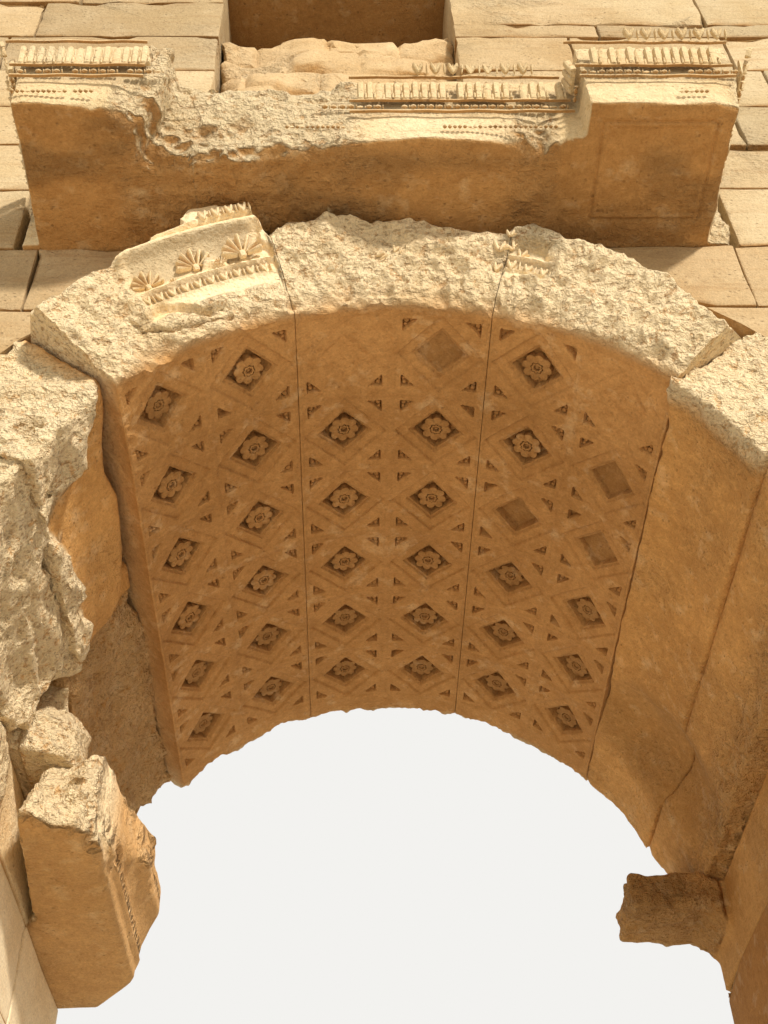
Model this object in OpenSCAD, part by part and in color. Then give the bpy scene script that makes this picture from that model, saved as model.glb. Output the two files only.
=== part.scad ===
// One bay of a ruined Roman triumphal arch, in millimetres.
// Origin: middle of the plan at ground level. +Z up, +Y through the passage from front to rear.

/* [Archway] */
// Clear span of the archway between its piers
span = 3600; // [3200:50:4000]
// Depth of the passage from the front wall face to the rear wall face
vault_d = 3500; // [3300:50:3900]
// Height of the centre of the vault over the ground
axis_z = 5400; // [5000:50:6000]
// Height of the voussoirs from intrados to the top of the archivolt
ring_h = 660; // [600:10:720]
// How far the archivolt stands out from the wall face
archivolt_p = 300; // [220:5:330]
// How far the inner faces of the piers stand back from the springing line of the vault
pier_set = 200; // [100:10:260]

/* [Coffers] */
// Half angle of the keystone block, also the angle of one column of coffers
block_a = 16.7; // [15.5:0.1:17.5]
// Rows of coffers from front to rear
rows = 6; // [6:1:6]
// Pitch of the rows along the passage
row_pitch = 556; // [530:2:560]
// Half diagonal of the deep field, across and along the vault
field = 132; // [110:2:150]
// Depth of the deep field
field_d = 60; // [40:2:80]
// Width of the step round the deep field
frame_w = 20; // [14:1:30]
// Depth of the step round the deep field
frame_d = 18; // [10:1:30]
// Half diagonal of the panel that the diagonal ribs enclose
panel = 245; // [225:1:252]
// Depth of that panel under the ribs
panel_d = 8; // [5:1:12]
// Length of a leg of the small corner triangles
corner_leg = 78; // [60:1:90]
// Distance of a corner triangle from the edges of its cell
corner_gap = 52; // [44:1:60]
// Depth of the corner triangles
corner_d = 35; // [20:1:50]
// Radius of the button in the middle of a rosette
button_r = 28; // [20:1:36]
// Height of that button over the floor of the field
button_h = 26; // [16:1:36]

/* [Damage] */
// How far the left haunch and the right springing have weathered back behind the coffered stones
haunch_loss = 90; // [0:10:140]
// How much further its rear part has weathered back
rear_loss = 70; // [0:10:120]
// Depth from the front wall face over which the springing has broken back to the pier
spring_loss = 1450; // [1200:50:1700]
// Width of the chamfer that the fracture has left on the front corner of the left springing
corner_w = 300; // [200:20:500]
// Length of that chamfer along the passage
corner_l = 600; // [400:50:900]
// Radius of the hollow in the right haunch
hollow_r = 700; // [500:20:900]
// Depth of that hollow
hollow_d = 190; // [100:10:260]
// Height of the break along the lower edge of the shelf
break_h = 100; // [60:10:160]
// Depth of the break at the crown of the archivolt
crown_loss = 130; // [60:10:160]

/* [Wall] */
// Width of the whole bay
wall_w = 7000; // [6600:100:8000]
// Height of one course of the wall above the archway
course_h = 1050; // [900:10:1200]
// Height of the lintel course over the niche
lintel_h = 630; // [500:10:800]
// Height of the base course
base_h = 450; // [350:10:600]
// How far the base course stands out from the pier
base_p = 80; // [40:5:150]

/* [Impost] */
// Height of the impost block that carries the arch
impost_h = 500; // [400:10:600]
// How far the impost moulding stands out from the pier into the passage
impost_p = 620; // [450:10:650]
// Height of the top of the impost over the centre of the vault
impost_top = 120; // [60:10:200]
// Length missing from the front end of the left impost
left_loss = 1450; // [900:50:1700]
// Length that is left of the right impost, at the rear
right_left = 560; // [400:20:1000]

/* [Shelf] */
// Height of the moulded shelf over the archway
shelf_h = 630; // [560:10:760]
// How far the underside of the shelf lies below the crown of the ring, which is cut flat to carry it
shelf_drop = 60; // [40:5:100]
// Shift of the shelf from the middle of the bay
shelf_x = -50; // [-100:10:0]
// Half width of the shelf
shelf_half = 2050; // [1950:10:2150]
// Width of each projecting end of the shelf
ressaut_w = 1040; // [940:10:1100]
// How far the projecting ends stand out from the wall
ressaut_p = 1000; // [900:10:1050]
// How far the middle of the shelf stands out from the wall
centre_p = 800; // [700:10:860]
// Depth of the sunk panel in the soffit of a projecting end
soffit_d = 30; // [15:5:50]
// Margin of that panel from the edges of the soffit
soffit_margin = 100; // [80:10:160]
// How far the lowest member of the shelf stands back from its lip
shelf_back = 130; // [90:10:170]

/* [Niche] */
// Width of the niche in the upper wall
niche_w = 1680; // [1400:20:1900]
// Shift of the niche from the middle of the bay
niche_x = -270; // [-350:10:0]
// Depth of the niche
niche_d = 620; // [400:10:800]
// How far the rough blocking is set back from the wall face
blocking_set = 120; // [60:10:200]
// Height of the rough blocking in the foot of the niche
apron_h = 2380; // [2200:10:2600]

/* [Hidden] */

fine = 240;
eps = 20;
r_in = span / 2;
r_out = r_in + ring_h;
half_d = vault_d / 2;
half_w = wall_w / 2;
springer_a = 70;
pier_x = r_in + pier_set;
hollow_y = half_d * 0.48;
haunch_a = 3 * block_a;
impost_z = axis_z + impost_top - impost_h;
impost_top_z = axis_z + impost_top;
pier_mid_z = base_h + (impost_z - base_h) / 2;
spandrel_z = axis_z + r_out / 2;
shelf_z = axis_z + r_out - shelf_drop;
shelf_l = shelf_x - shelf_half;
shelf_r = shelf_x + shelf_half;
shelf_top = shelf_z + shelf_h;
apron_z = shelf_top + course_h;
sill_z = shelf_top + 2 * course_h;
lintel_z = shelf_top + 3 * course_h;
wall_top = lintel_z + lintel_h;
niche_l = niche_x - niche_w / 2;
niche_r = niche_x + niche_w / 2;
tail = 350;
shelf_tail = 700;
corner_chip = 420;
tip_x = 700;

// Places the plane of an arch profile: radius along X, depth along Y, angle 0 at the crown
module sector(from, to) {
    translate([0, 0, axis_z])
        rotate([-90, 0, 0])
            rotate([0, 0, from - 90])
                rotate_extrude(angle = to - from, $fn = fine) children();
}

// Half of the archivolt's section outside the wall face: two fascias, a sloping member and a lip
function archivolt_half(y0, way) = [
    [r_in, y0 + way * archivolt_p * 0.15],
    [r_in + ring_h * 0.27, y0 + way * archivolt_p * 0.2],
    [r_in + ring_h * 0.27, y0 + way * archivolt_p * 0.34],
    [r_in + ring_h * 0.52, y0 + way * archivolt_p * 0.4],
    [r_in + ring_h * 0.56, y0 + way * archivolt_p * 0.52],
    [r_in + ring_h * 0.62, y0 + way * archivolt_p * 0.54],
    [r_in + ring_h * 0.86, y0 + way * archivolt_p * 0.88],
    [r_in + ring_h * 0.9, y0 + way * archivolt_p],
    [r_out, y0 + way * archivolt_p]
];

function reversed(list) = [for (i = [len(list) - 1 : -1 : 0]) list[i]];

// One full-depth stone of the arch between two angles
module voussoir(from, to) {
    sector(from, to)
        polygon(concat(archivolt_half(-half_d, -1), reversed(archivolt_half(half_d, 1))));
}

// A lower stone of the arch, with a plain front face and no archivolt, weathered back by loss
module plain_voussoir(from, to, loss) {
    sector(from, to) translate([r_in + loss, -half_d]) square([ring_h - loss, vault_d]);
}

// The slanting fracture at the front left corner of the springing
module corner_break() {
    translate([-pier_x - corner_w, -half_d, impost_z - eps])
        rotate([0, 0, atan2(corner_l, corner_w)])
            translate([0, -vault_d, 0]) cube([corner_l * 2, vault_d, axis_z]);
}

// The round hollow in the right haunch, on the vault at the given angle and depth
module hollow(angle, y) {
    translate([0, y, axis_z])
        rotate([0, angle, 0])
            translate([0, 0, r_in - hollow_r + hollow_d]) sphere(r = hollow_r, $fn = fine);
}

// The break that has taken the crown off the front of the archivolt between two angles
module crown_break(from, to) {
    sector(from, to)
        polygon([[r_out - crown_loss, -half_d - archivolt_p * 2],
                 [r_out - crown_loss * 0.35, -half_d - archivolt_p * 0.5],
                 [r_out + eps, -half_d - archivolt_p * 0.3],
                 [r_out + eps, -half_d - archivolt_p * 2]]);
}

// Moves the local frame to one cell of the soffit: X across the vault, Z outward from its axis
module at_cell(angle, row) {
    translate([0, -half_d + row_pitch * (row + 0.5) + 25, axis_z])
        rotate([0, angle, 0]) children();
}

module lozenge(half, depth) {
    translate([0, 0, r_in - eps * 5])
        linear_extrude(depth + eps * 5)
            polygon([[-half, 0], [0, -half], [half, 0], [0, half]]);
}

// The carving of one coffer: two steps, a deep field with its button, and four corner triangles
module coffer_cut() {
    cell_half = r_in * sin(block_a / 2);
    corner_x = cell_half - corner_gap;
    corner_y = row_pitch / 2 - corner_gap;
    lozenge(panel, panel_d);
    lozenge(field + frame_w, frame_d);
    difference() {
        lozenge(field, field_d);
        translate([0, 0, r_in + field_d - button_h]) cylinder(h = button_h * 2, r = button_r, $fn = fine);
    }
    for (sx = [-1, 1], sy = [-1, 1])
        translate([0, 0, r_in - eps * 5])
            linear_extrude(corner_d + eps * 5)
                polygon([[sx * corner_x, sy * corner_y],
                         [sx * (corner_x - corner_leg), sy * corner_y],
                         [sx * corner_x, sy * (corner_y - corner_leg)]]);
}

// One of the three great coffered stones: two columns of coffers between its side joints
module coffered(from, to, break_from, break_to) {
    color("peru")
        difference() {
            voussoir(from, to);
            crown_break(break_from, break_to);
            box_between(-r_out, r_out, -vault_d, vault_d, shelf_z, shelf_z + ring_h);
            for (column = [0, 1], row = [0 : rows - 1])
                at_cell(from + (column + 0.5) * block_a, row) coffer_cut();
        }
}

module box_between(x0, x1, y0, y1, z0, z1) {
    translate([x0, y0, z0]) cube([x1 - x0, y1 - y0, z1 - z0]);
}

// The room that the arch ring takes out of the masonry round it
module ring_void() {
    translate([0, half_d * 2, axis_z]) rotate([90, 0, 0]) cylinder(h = half_d * 4, r = r_out, $fn = fine);
}

module base(side) {
    color("burlywood")
        box_between(side < 0 ? -half_w - base_p : pier_x - base_p, side < 0 ? -pier_x + base_p : half_w + base_p,
                    -half_d - base_p, half_d + base_p, 0, base_h);
}

module pier(side, z0, z1) {
    color("burlywood")
        box_between(side < 0 ? -half_w : pier_x, side < 0 ? -pier_x : half_w, -half_d, half_d, z0, z1);
}

// Section of the impost over the passage: flat soffit, fillet, hollow and lip
function impost_section() = [
    [-half_w, 0], [-pier_x + impost_p * 0.78, 0],
    [-pier_x + impost_p * 0.78, impost_h * 0.14],
    [-pier_x + impost_p * 0.82, impost_h * 0.18],
    [-pier_x + impost_p * 0.84, impost_h * 0.36],
    [-pier_x + impost_p * 0.9, impost_h * 0.54],
    [-pier_x + impost_p, impost_h * 0.64],
    [-pier_x + impost_p, impost_h],
    [-half_w, impost_h]
];

// An impost whose moulding is gone from y0 to y1; there it is flush with the pier
module impost(y0, y1) {
    difference() {
        translate([0, half_d, impost_z]) rotate([90, 0, 0]) linear_extrude(vault_d) polygon(impost_section());
        translate([-pier_x, y0 - eps, impost_z - eps])
            cube([impost_p + eps, y1 - y0 + eps, impost_h + eps * 2]);
    }
}

module left_impost() {
    color("tan")
        difference() {
            impost(-half_d, -half_d + left_loss);
            corner_break();
        }
}

module right_impost() {
    color("tan") mirror([1, 0, 0]) impost(-half_d, half_d - right_left);
}

// Springers end flat on the impost; their front part has broken back to the face of the pier
module springer(side, loss) {
    color("tan")
        difference() {
            plain_voussoir(side < 0 ? -90 : springer_a, side < 0 ? -springer_a : 90, loss);
            box_between(-half_w, half_w, -half_d - eps, half_d + eps, axis_z - eps, impost_top_z);
            if (side < 0) box_between(-pier_x, 0, -half_d - eps, -half_d + spring_loss, axis_z, axis_z + r_in);
            if (side < 0) corner_break(); else hollow(springer_a, hollow_y);
        }
}

module left_haunch() {
    color("tan")
        difference() {
            plain_voussoir(-springer_a, -haunch_a, haunch_loss);
            sector(-springer_a - 1, -haunch_a + 1)
                translate([r_in, -half_d + spring_loss])
                    square([haunch_loss + rear_loss, vault_d]);
        }
}

module right_haunch() {
    color("tan")
        difference() {
            plain_voussoir(haunch_a, springer_a, 0);
            hollow(springer_a, hollow_y);
        }
}

// Masonry beside the arch ring, level with it; it ends before it would run out to a feather edge
module spandrel(side, z0, z1) {
    color("wheat")
        difference() {
            box_between(side < 0 ? -half_w : tip_x, side < 0 ? -tip_x : half_w, -half_d, half_d, z0, z1);
            ring_void();
        }
}

// Section of the shelf as it stands out by p: lower fascia, bead, upper fascia, bead, hollow and lip
function shelf_section(p) = [
    [0, 0], [p - shelf_back, 0], [p - shelf_back, shelf_h * 0.09],
    [p - shelf_back * 0.88, shelf_h * 0.1], [p - shelf_back * 0.88, shelf_h * 0.14],
    [p - shelf_back * 0.82, shelf_h * 0.15], [p - shelf_back * 0.82, shelf_h * 0.36],
    [p - shelf_back * 0.65, shelf_h * 0.38], [p - shelf_back * 0.65, shelf_h * 0.52],
    [p - shelf_back * 0.75, shelf_h * 0.53], [p - shelf_back * 0.65, shelf_h * 0.74],
    [p - shelf_back * 0.3, shelf_h * 0.82], [p - shelf_back * 0.2, shelf_h * 0.84],
    [p, shelf_h * 0.94], [p, shelf_h], [0, shelf_h]
];

// A length of the shelf from x0 to x1 that stands out by p from the front wall face
module shelf_run(x0, x1, p) {
    translate([x0, -half_d, shelf_z])
        rotate([90, 0, 90])
            linear_extrude(x1 - x0) polygon([for (q = shelf_section(p)) [-q[0], q[1]]]);
}

// Both side returns of a projecting end, as one section across it
module shelf_sides(x0, width) {
    half = shelf_section(width / 2);
    translate([x0 + width / 2, 0, shelf_z])
        rotate([90, 0, 0])
            linear_extrude(vault_d)
                polygon(concat([for (q = half) q], [for (q = reversed(half)) [-q[0], q[1]]]));
}

// A projecting end of the shelf: its mouldings turn both corners, its tail lies in the wall,
// and its soffit holds a sunk panel
module shelf_end(side) {
    x0 = side < 0 ? -shelf_half : shelf_half - ressaut_w;
    inset = shelf_back + soffit_margin;
    difference() {
        union() {
            intersection() {
                shelf_run(x0 - eps, x0 + ressaut_w + eps, ressaut_p);
                shelf_sides(x0, ressaut_w);
            }
            box_between(x0, x0 + ressaut_w, -half_d, -half_d + shelf_tail, shelf_z, shelf_top);
        }
        box_between(x0 + inset, x0 + ressaut_w - inset, -half_d - ressaut_p + inset,
                    -half_d - soffit_margin, shelf_z - eps, shelf_z + soffit_d);
    }
}

// The recessed middle of the shelf, which closes the gaps beside the narrower lower members
module shelf_middle() {
    x0 = -shelf_half + ressaut_w;
    union() {
        difference() {
            shelf_run(x0 - shelf_back, -x0 + shelf_back, centre_p);
            shelf_end(-1);
            shelf_end(1);
        }
        box_between(x0, -x0, -half_d, -half_d + shelf_tail, shelf_z, shelf_top);
    }
}

// The wedge that has broken off the lower front edge of the shelf from x0 to x1
module edge_break(x0, x1, p) {
    translate([x0, -half_d - p + shelf_back, shelf_z])
        rotate([45, 0, 0])
            translate([0, -break_h / 2, -break_h / 2]) cube([x1 - x0, break_h, break_h]);
}

// The left end has lost the inner corner of its lower members
module left_shelf_end() {
    color("sandybrown")
        translate([shelf_x, 0, 0]) difference() {
            shelf_end(-1);
            translate([-shelf_half + ressaut_w, -half_d - ressaut_p, shelf_z])
                rotate([0, 45, 0])
                    translate([-corner_chip / 2, -eps, -corner_chip / 2])
                        cube([corner_chip, ressaut_p - centre_p + shelf_back, corner_chip]);
        }
}

module right_shelf_end() { color("sandybrown") translate([shelf_x, 0, 0]) shelf_end(1); }

module shelf_centre() {
    color("sandybrown")
        translate([shelf_x, 0, 0]) difference() {
            shelf_middle();
            edge_break(-shelf_half, shelf_half, centre_p);
        }
}

module rear_shelf_left() { color("sandybrown") translate([shelf_x, 0, 0]) mirror([0, 1, 0]) shelf_end(-1); }
module rear_shelf_right() { color("sandybrown") translate([shelf_x, 0, 0]) mirror([0, 1, 0]) shelf_end(1); }
module rear_shelf_centre() {
    color("sandybrown") translate([shelf_x, 0, 0]) mirror([0, 1, 0]) shelf_middle();
}

module left_base() { base(-1); }
module right_base() { base(1); }
module left_pier_lower() { pier(-1, base_h, pier_mid_z); }
module right_pier_lower() { pier(1, base_h, pier_mid_z); }
module left_pier_upper() { pier(-1, pier_mid_z, impost_z); }
module right_pier_upper() { pier(1, pier_mid_z, impost_z); }
module left_springer() { springer(-1, haunch_loss + rear_loss); }
module right_springer() { springer(1, haunch_loss); }
module left_coffered_block() { coffered(-3 * block_a, -block_a, -1.05 * block_a, -block_a + 1); }
module keystone_block() { coffered(-block_a, block_a, -block_a - 1, block_a + 1); }
module right_coffered_block() { coffered(block_a, 3 * block_a, 1.5 * block_a, 3 * block_a + 1); }
module left_spandrel_lower() { spandrel(-1, impost_top_z, spandrel_z); }
module right_spandrel_lower() { spandrel(1, impost_top_z, spandrel_z); }
module left_spandrel_upper() { spandrel(-1, spandrel_z, shelf_z); }
module right_spandrel_upper() { spandrel(1, spandrel_z, shelf_z); }

// A plain length of wall from x0 to x1 and y0 to y1
module wall_piece(x0, x1, y0, y1, z0, z1) {
    color("wheat") box_between(x0, x1, y0, y1, z0, z1);
}

module shelf_course_left() { wall_piece(-half_w, shelf_l, -half_d, half_d, shelf_z, shelf_top); }
module shelf_course_right() { wall_piece(shelf_r, half_w, -half_d, half_d, shelf_z, shelf_top); }
module shelf_course_core() {
    wall_piece(shelf_l, shelf_r, -half_d + shelf_tail, half_d - shelf_tail, shelf_z, shelf_top);
}
module apron_course_left() { wall_piece(-half_w, niche_l, -half_d, half_d, shelf_top, apron_z); }
module apron_course_right() { wall_piece(niche_r, half_w, -half_d, half_d, shelf_top, apron_z); }
module apron_course_core() {
    wall_piece(niche_l, niche_r, -half_d + niche_d, half_d - niche_d, shelf_top, apron_z);
}
module sill_course_left() { wall_piece(-half_w, niche_l, -half_d, half_d, apron_z, sill_z); }
module sill_course_right() { wall_piece(niche_r, half_w, -half_d, half_d, apron_z, sill_z); }
module sill_course_core() {
    wall_piece(niche_l, niche_r, -half_d + niche_d, half_d - niche_d, apron_z, sill_z);
}
module niche_blocking() {
    color("tan")
        box_between(niche_l, niche_r, -half_d + blocking_set, -half_d + niche_d, shelf_top, shelf_top + apron_h);
}
module rear_niche_blocking() { mirror([0, 1, 0]) niche_blocking(); }
module niche_jamb_left() { wall_piece(-half_w, niche_l, -half_d, half_d, sill_z, lintel_z); }
module niche_jamb_right() { wall_piece(niche_r, half_w, -half_d, half_d, sill_z, lintel_z); }
module niche_back() {
    wall_piece(niche_l, niche_r, -half_d + niche_d, half_d - niche_d, sill_z, lintel_z);
}
module niche_lintel() {
    wall_piece(niche_l - tail, niche_r + tail, -half_d, half_d, lintel_z, wall_top);
}
module top_course_left() { wall_piece(-half_w, niche_l - tail, -half_d, half_d, lintel_z, wall_top); }
module top_course_right() { wall_piece(niche_r + tail, half_w, -half_d, half_d, lintel_z, wall_top); }

left_base();
right_base();
left_pier_lower();
right_pier_lower();
left_pier_upper();
right_pier_upper();
left_impost();
right_impost();
left_springer();
right_springer();
left_haunch();
right_haunch();
left_coffered_block();
keystone_block();
right_coffered_block();
left_spandrel_lower();
right_spandrel_lower();
left_spandrel_upper();
right_spandrel_upper();
left_shelf_end();
shelf_centre();
right_shelf_end();
rear_shelf_left();
rear_shelf_centre();
rear_shelf_right();
shelf_course_left();
shelf_course_right();
shelf_course_core();
apron_course_left();
apron_course_right();
apron_course_core();
sill_course_left();
sill_course_right();
sill_course_core();
niche_blocking();
rear_niche_blocking();
niche_jamb_left();
niche_jamb_right();
niche_back();
niche_lintel();
top_course_left();
top_course_right();
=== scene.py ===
import math
from itertools import pairwise
import bmesh
import bpy
import numpy as np
from mathutils import Matrix, Vector


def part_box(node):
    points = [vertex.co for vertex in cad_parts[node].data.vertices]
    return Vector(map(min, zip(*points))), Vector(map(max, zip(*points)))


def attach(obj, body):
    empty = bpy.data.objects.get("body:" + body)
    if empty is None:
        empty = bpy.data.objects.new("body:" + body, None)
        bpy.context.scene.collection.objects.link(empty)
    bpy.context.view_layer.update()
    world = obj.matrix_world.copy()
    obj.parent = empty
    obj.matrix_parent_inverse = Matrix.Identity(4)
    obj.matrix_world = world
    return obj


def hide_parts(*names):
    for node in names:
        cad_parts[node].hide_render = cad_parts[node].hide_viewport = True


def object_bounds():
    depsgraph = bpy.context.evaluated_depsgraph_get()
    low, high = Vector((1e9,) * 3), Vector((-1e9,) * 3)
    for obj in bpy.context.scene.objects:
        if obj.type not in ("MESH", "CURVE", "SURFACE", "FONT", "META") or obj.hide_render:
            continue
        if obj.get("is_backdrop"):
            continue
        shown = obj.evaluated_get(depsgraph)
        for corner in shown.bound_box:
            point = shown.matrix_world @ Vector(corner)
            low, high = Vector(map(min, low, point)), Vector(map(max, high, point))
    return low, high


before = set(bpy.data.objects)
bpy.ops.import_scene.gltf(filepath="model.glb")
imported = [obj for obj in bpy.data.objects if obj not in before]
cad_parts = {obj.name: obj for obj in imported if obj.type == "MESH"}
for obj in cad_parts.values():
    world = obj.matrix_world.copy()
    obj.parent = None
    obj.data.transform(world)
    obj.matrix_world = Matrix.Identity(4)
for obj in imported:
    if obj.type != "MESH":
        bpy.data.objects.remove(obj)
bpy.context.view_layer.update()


# ---------------------------------------------------------------- base courses
# The lowest course under each pier: long squared blocks of warm yellow limestone that stand out a
# hand's width from the pier. Sawn and dressed with a point chisel, laid dry, arrises rubbed round.

LATTICE = np.random.default_rng(19).random(64 ** 3).astype(np.float32)
MARKS = ("sheltered_and_shaded", "broken", "tone")


def grain(p, size, shift=0.0):
    """Smooth random values from -1 to 1 at the points p. Size is the width of a lump in metres, one number or three."""
    q = p / np.asarray(size, np.float32) + np.float32(shift + 20.37)
    whole = np.floor(q).astype(np.int32)
    f = (q - whole).astype(np.float32)
    f = f * f * (3 - 2 * f)
    x0, y0, z0 = (whole & 63).T
    x1, y1, z1 = ((whole + 1) & 63).T
    fx, fy, fz = f.T

    def line(x, y):
        a, b = LATTICE[(x * 64 + y) * 64 + z0], LATTICE[(x * 64 + y) * 64 + z1]
        return a + (b - a) * fz

    low = line(x0, y0)
    low = low + (line(x1, y0) - low) * fx
    high = line(x0, y1)
    high = high + (line(x1, y1) - high) * fx
    return (low + (high - low) * fy) * 2 - 1


def rough(p, size, layers=3, shift=0.0):
    """Layers of grain, each half as wide and half as strong, from about -1 to 1."""
    size = np.asarray(size, np.float32)
    total = sum(grain(p, size / 2 ** k, shift + 13.7 * k) / 2 ** k for k in range(layers))
    return total / (2 - 0.5 ** (layers - 1)) * 1.35


def ease(value, low, high):
    """0 below low, 1 above high, smooth between."""
    t = np.clip((value - low) / (high - low), 0, 1)
    return t * t * (3 - 2 * t)


def linear(tone):
    """A hex colour as Blender's linear colour with alpha."""
    parts = [int(tone[k:k + 2], 16) / 255 for k in (1, 3, 5)]
    return tuple(c / 12.92 if c <= 0.04045 else ((c + 0.055) / 1.055) ** 2.4 for c in parts) + (1.0,)


def add(tree, kind, inputs=None, **settings):
    """Adds one node: settings are its properties, inputs are socket name or number to a value or an output."""
    node = tree.nodes.new(kind)
    for key, value in settings.items():
        setattr(node, key, value)
    for key, value in (inputs or {}).items():
        if isinstance(value, bpy.types.NodeSocket):
            tree.links.new(value, node.inputs[key])
        else:
            node.inputs[key].default_value = value
    return node


def limestone(name, open_tone, patina_and_shade_tone, broken_tone, streak=0.5, pits=0.5, coarse=1.0):
    """Warm limestone. The three marks kept on the stone (MARKS) say where it is patinated and where its colour
    is painted with the shade it stands in, where it is freshly broken, and how dark the whole block is, which
    on the carved stones also carries painted shade."""
    material = bpy.data.materials.new(name)
    material.use_nodes = True
    tree = material.node_tree
    tree.nodes.clear()
    place = add(tree, "ShaderNodeTexCoord").outputs["Object"]
    bedded, slanting, flattened = (
        add(tree, "ShaderNodeMapping", {"Vector": place, "Rotation": turn, "Scale": stretch}).outputs[0]
        for turn, stretch in (((0.06, 0.1, 0), (0.8, 0.8, 9.0)), ((0.5, 0.6, 0.3), (0.36, 1.0, 1.0)),
                              ((0, 0, 0), (1.0, 1.0, 1.9))))
    found = {mark: add(tree, "ShaderNodeAttribute", attribute_name=mark).outputs["Fac"] for mark in MARKS}
    # Stains 0.7 m wide, beds 50 mm high, blotches 140 mm, mottling 60 mm, grain 17 mm, nicks 60 by 20 mm
    for pattern, where, scale, detail, roughness in (
            ("stain", place, 1.4, 3.0, 0.6), ("bed", bedded, 2.2, 4.0, 0.7), ("blotch", place, 7.0, 3.0, 0.65),
            ("mottle", place, 17.0, 4.0, 0.7), ("grain", place, 60.0, 3.0, 0.75), ("nick", slanting, 44.0, 2.0, 0.6)):
        found[pattern] = add(tree, "ShaderNodeTexNoise", {"Vector": where, "Scale": scale, "Detail": detail,
                                                          "Roughness": roughness}).outputs["Fac"]
    # Crags 90 mm wide, grit 12 mm, round holes 10 mm across
    found["crag"] = add(tree, "ShaderNodeTexNoise", {"Vector": place, "Scale": 11.0, "Detail": 3.0, "Roughness": 0.62,
                                                     "Lacunarity": 2.1, "Offset": 0.9, "Gain": 1.6},
                        noise_type="RIDGED_MULTIFRACTAL", normalize=True).outputs["Fac"]
    for pattern, where, scale in (("grit", place, 85.0), ("hole", flattened, 24.0)):
        found[pattern] = add(tree, "ShaderNodeTexVoronoi", {"Vector": where, "Scale": scale}).outputs["Distance"]
    found["lift"] = add(tree, "ShaderNodeMath", {0: found["grain"], 1: 0.5, 2: found["mottle"]},
                        operation="MULTIPLY_ADD").outputs[0]

    # Masks: each takes one span of a pattern to another span
    for mask, pattern, low, high, out_low, out_high in (
            ("open stain", "stain", 0.38, 0.66, 0, 1), ("dry stain", "stain", 0.36, 0.66, 0, 1),
            ("light spot", "mottle", 0.50, 0.68, 0, 1), ("dark spot", "mottle", 0.48, 0.34, 0, 1),
            ("bare", "sheltered_and_shaded", 0, 1, 1.0, 0.12), ("dusty", "blotch", 0.35, 0.6, 0.35, 0.9),
            ("bed line", "bed", 0.52, 0.70, 0, 1), ("cloud", "blotch", 0.56, 0.74, 0, 1),
            ("low", "lift", 0.685, 0.60, 0, 1), ("crumbly", "broken", 0, 1, 0.05, 0.50 + 0.12 * coarse),
            ("nick core", "nick", 0.585, 0.65, 0, 1), ("nicked", "broken", 0, 1, 0.06, 1.0),
            ("hole core", "hole", 0.24, 0.12, 0, 1), ("holed", "blotch", 0.46, 0.56, 0, 1),
            ("grain shade", "grain", 0.3, 0.7, 0.86, 1.10), ("grit shade", "grit", 0, 0.6, 0.92, 1.05),
            ("block shade", "tone", -2.0, 1.0, 0.66, 1.10), ("crag height", "broken", 0, 1, 0.10, 1.0),
            ("mottle height", "broken", 0, 1, 0.006 * coarse, 0.070 * coarse),
            ("grain height", "broken", 0, 1, 0.006, 0.020)):
        found[mask] = add(tree, "ShaderNodeMapRange", {"Value": found[pattern], "From Min": low, "From Max": high,
                                                       "To Min": out_low, "To Max": out_high}).outputs["Result"]

    # Shares of the colours, the shade, and heights of the relief in metres: each is the product of its factors
    for share, first, *factors in (
            ("light spots", "light spot", 0.40), ("dark spots", "dark spot", 0.45),
            ("fresh", "broken", "bare", "dusty"), ("beds", "bed line", 0.45 * streak), ("clouds", "cloud", 0.25),
            ("low places", "low", "crumbly"), ("nicks", "nick core", "nicked"), ("dark nicks", "nicks", 0.42),
            ("pits", "hole core", "holed", 0.7 * pits), ("shade", "grain shade", "grit shade", "block shade"),
            ("crag relief", "crag height", 0.012 * coarse, "crag"), ("mottle relief", "mottle", "mottle height"),
            ("bed relief", "bed", 0.010 * streak), ("grain relief", "grain height", coarse, "grain"),
            ("grit relief", "grit", 0.0016), ("pit relief", "pits", -0.010), ("nick relief", "nicks", -0.011 * coarse)):
        found[share] = found[first]
        for factor in factors:
            found[share] = add(tree, "ShaderNodeMath", {0: found[share], 1: found.get(factor, factor)},
                               operation="MULTIPLY").outputs[0]

    def toned(tone, *share):
        return tuple(c * k for c, k in zip(linear(tone), (share if len(share) == 3 else share * 3) + (1,)))

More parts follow.
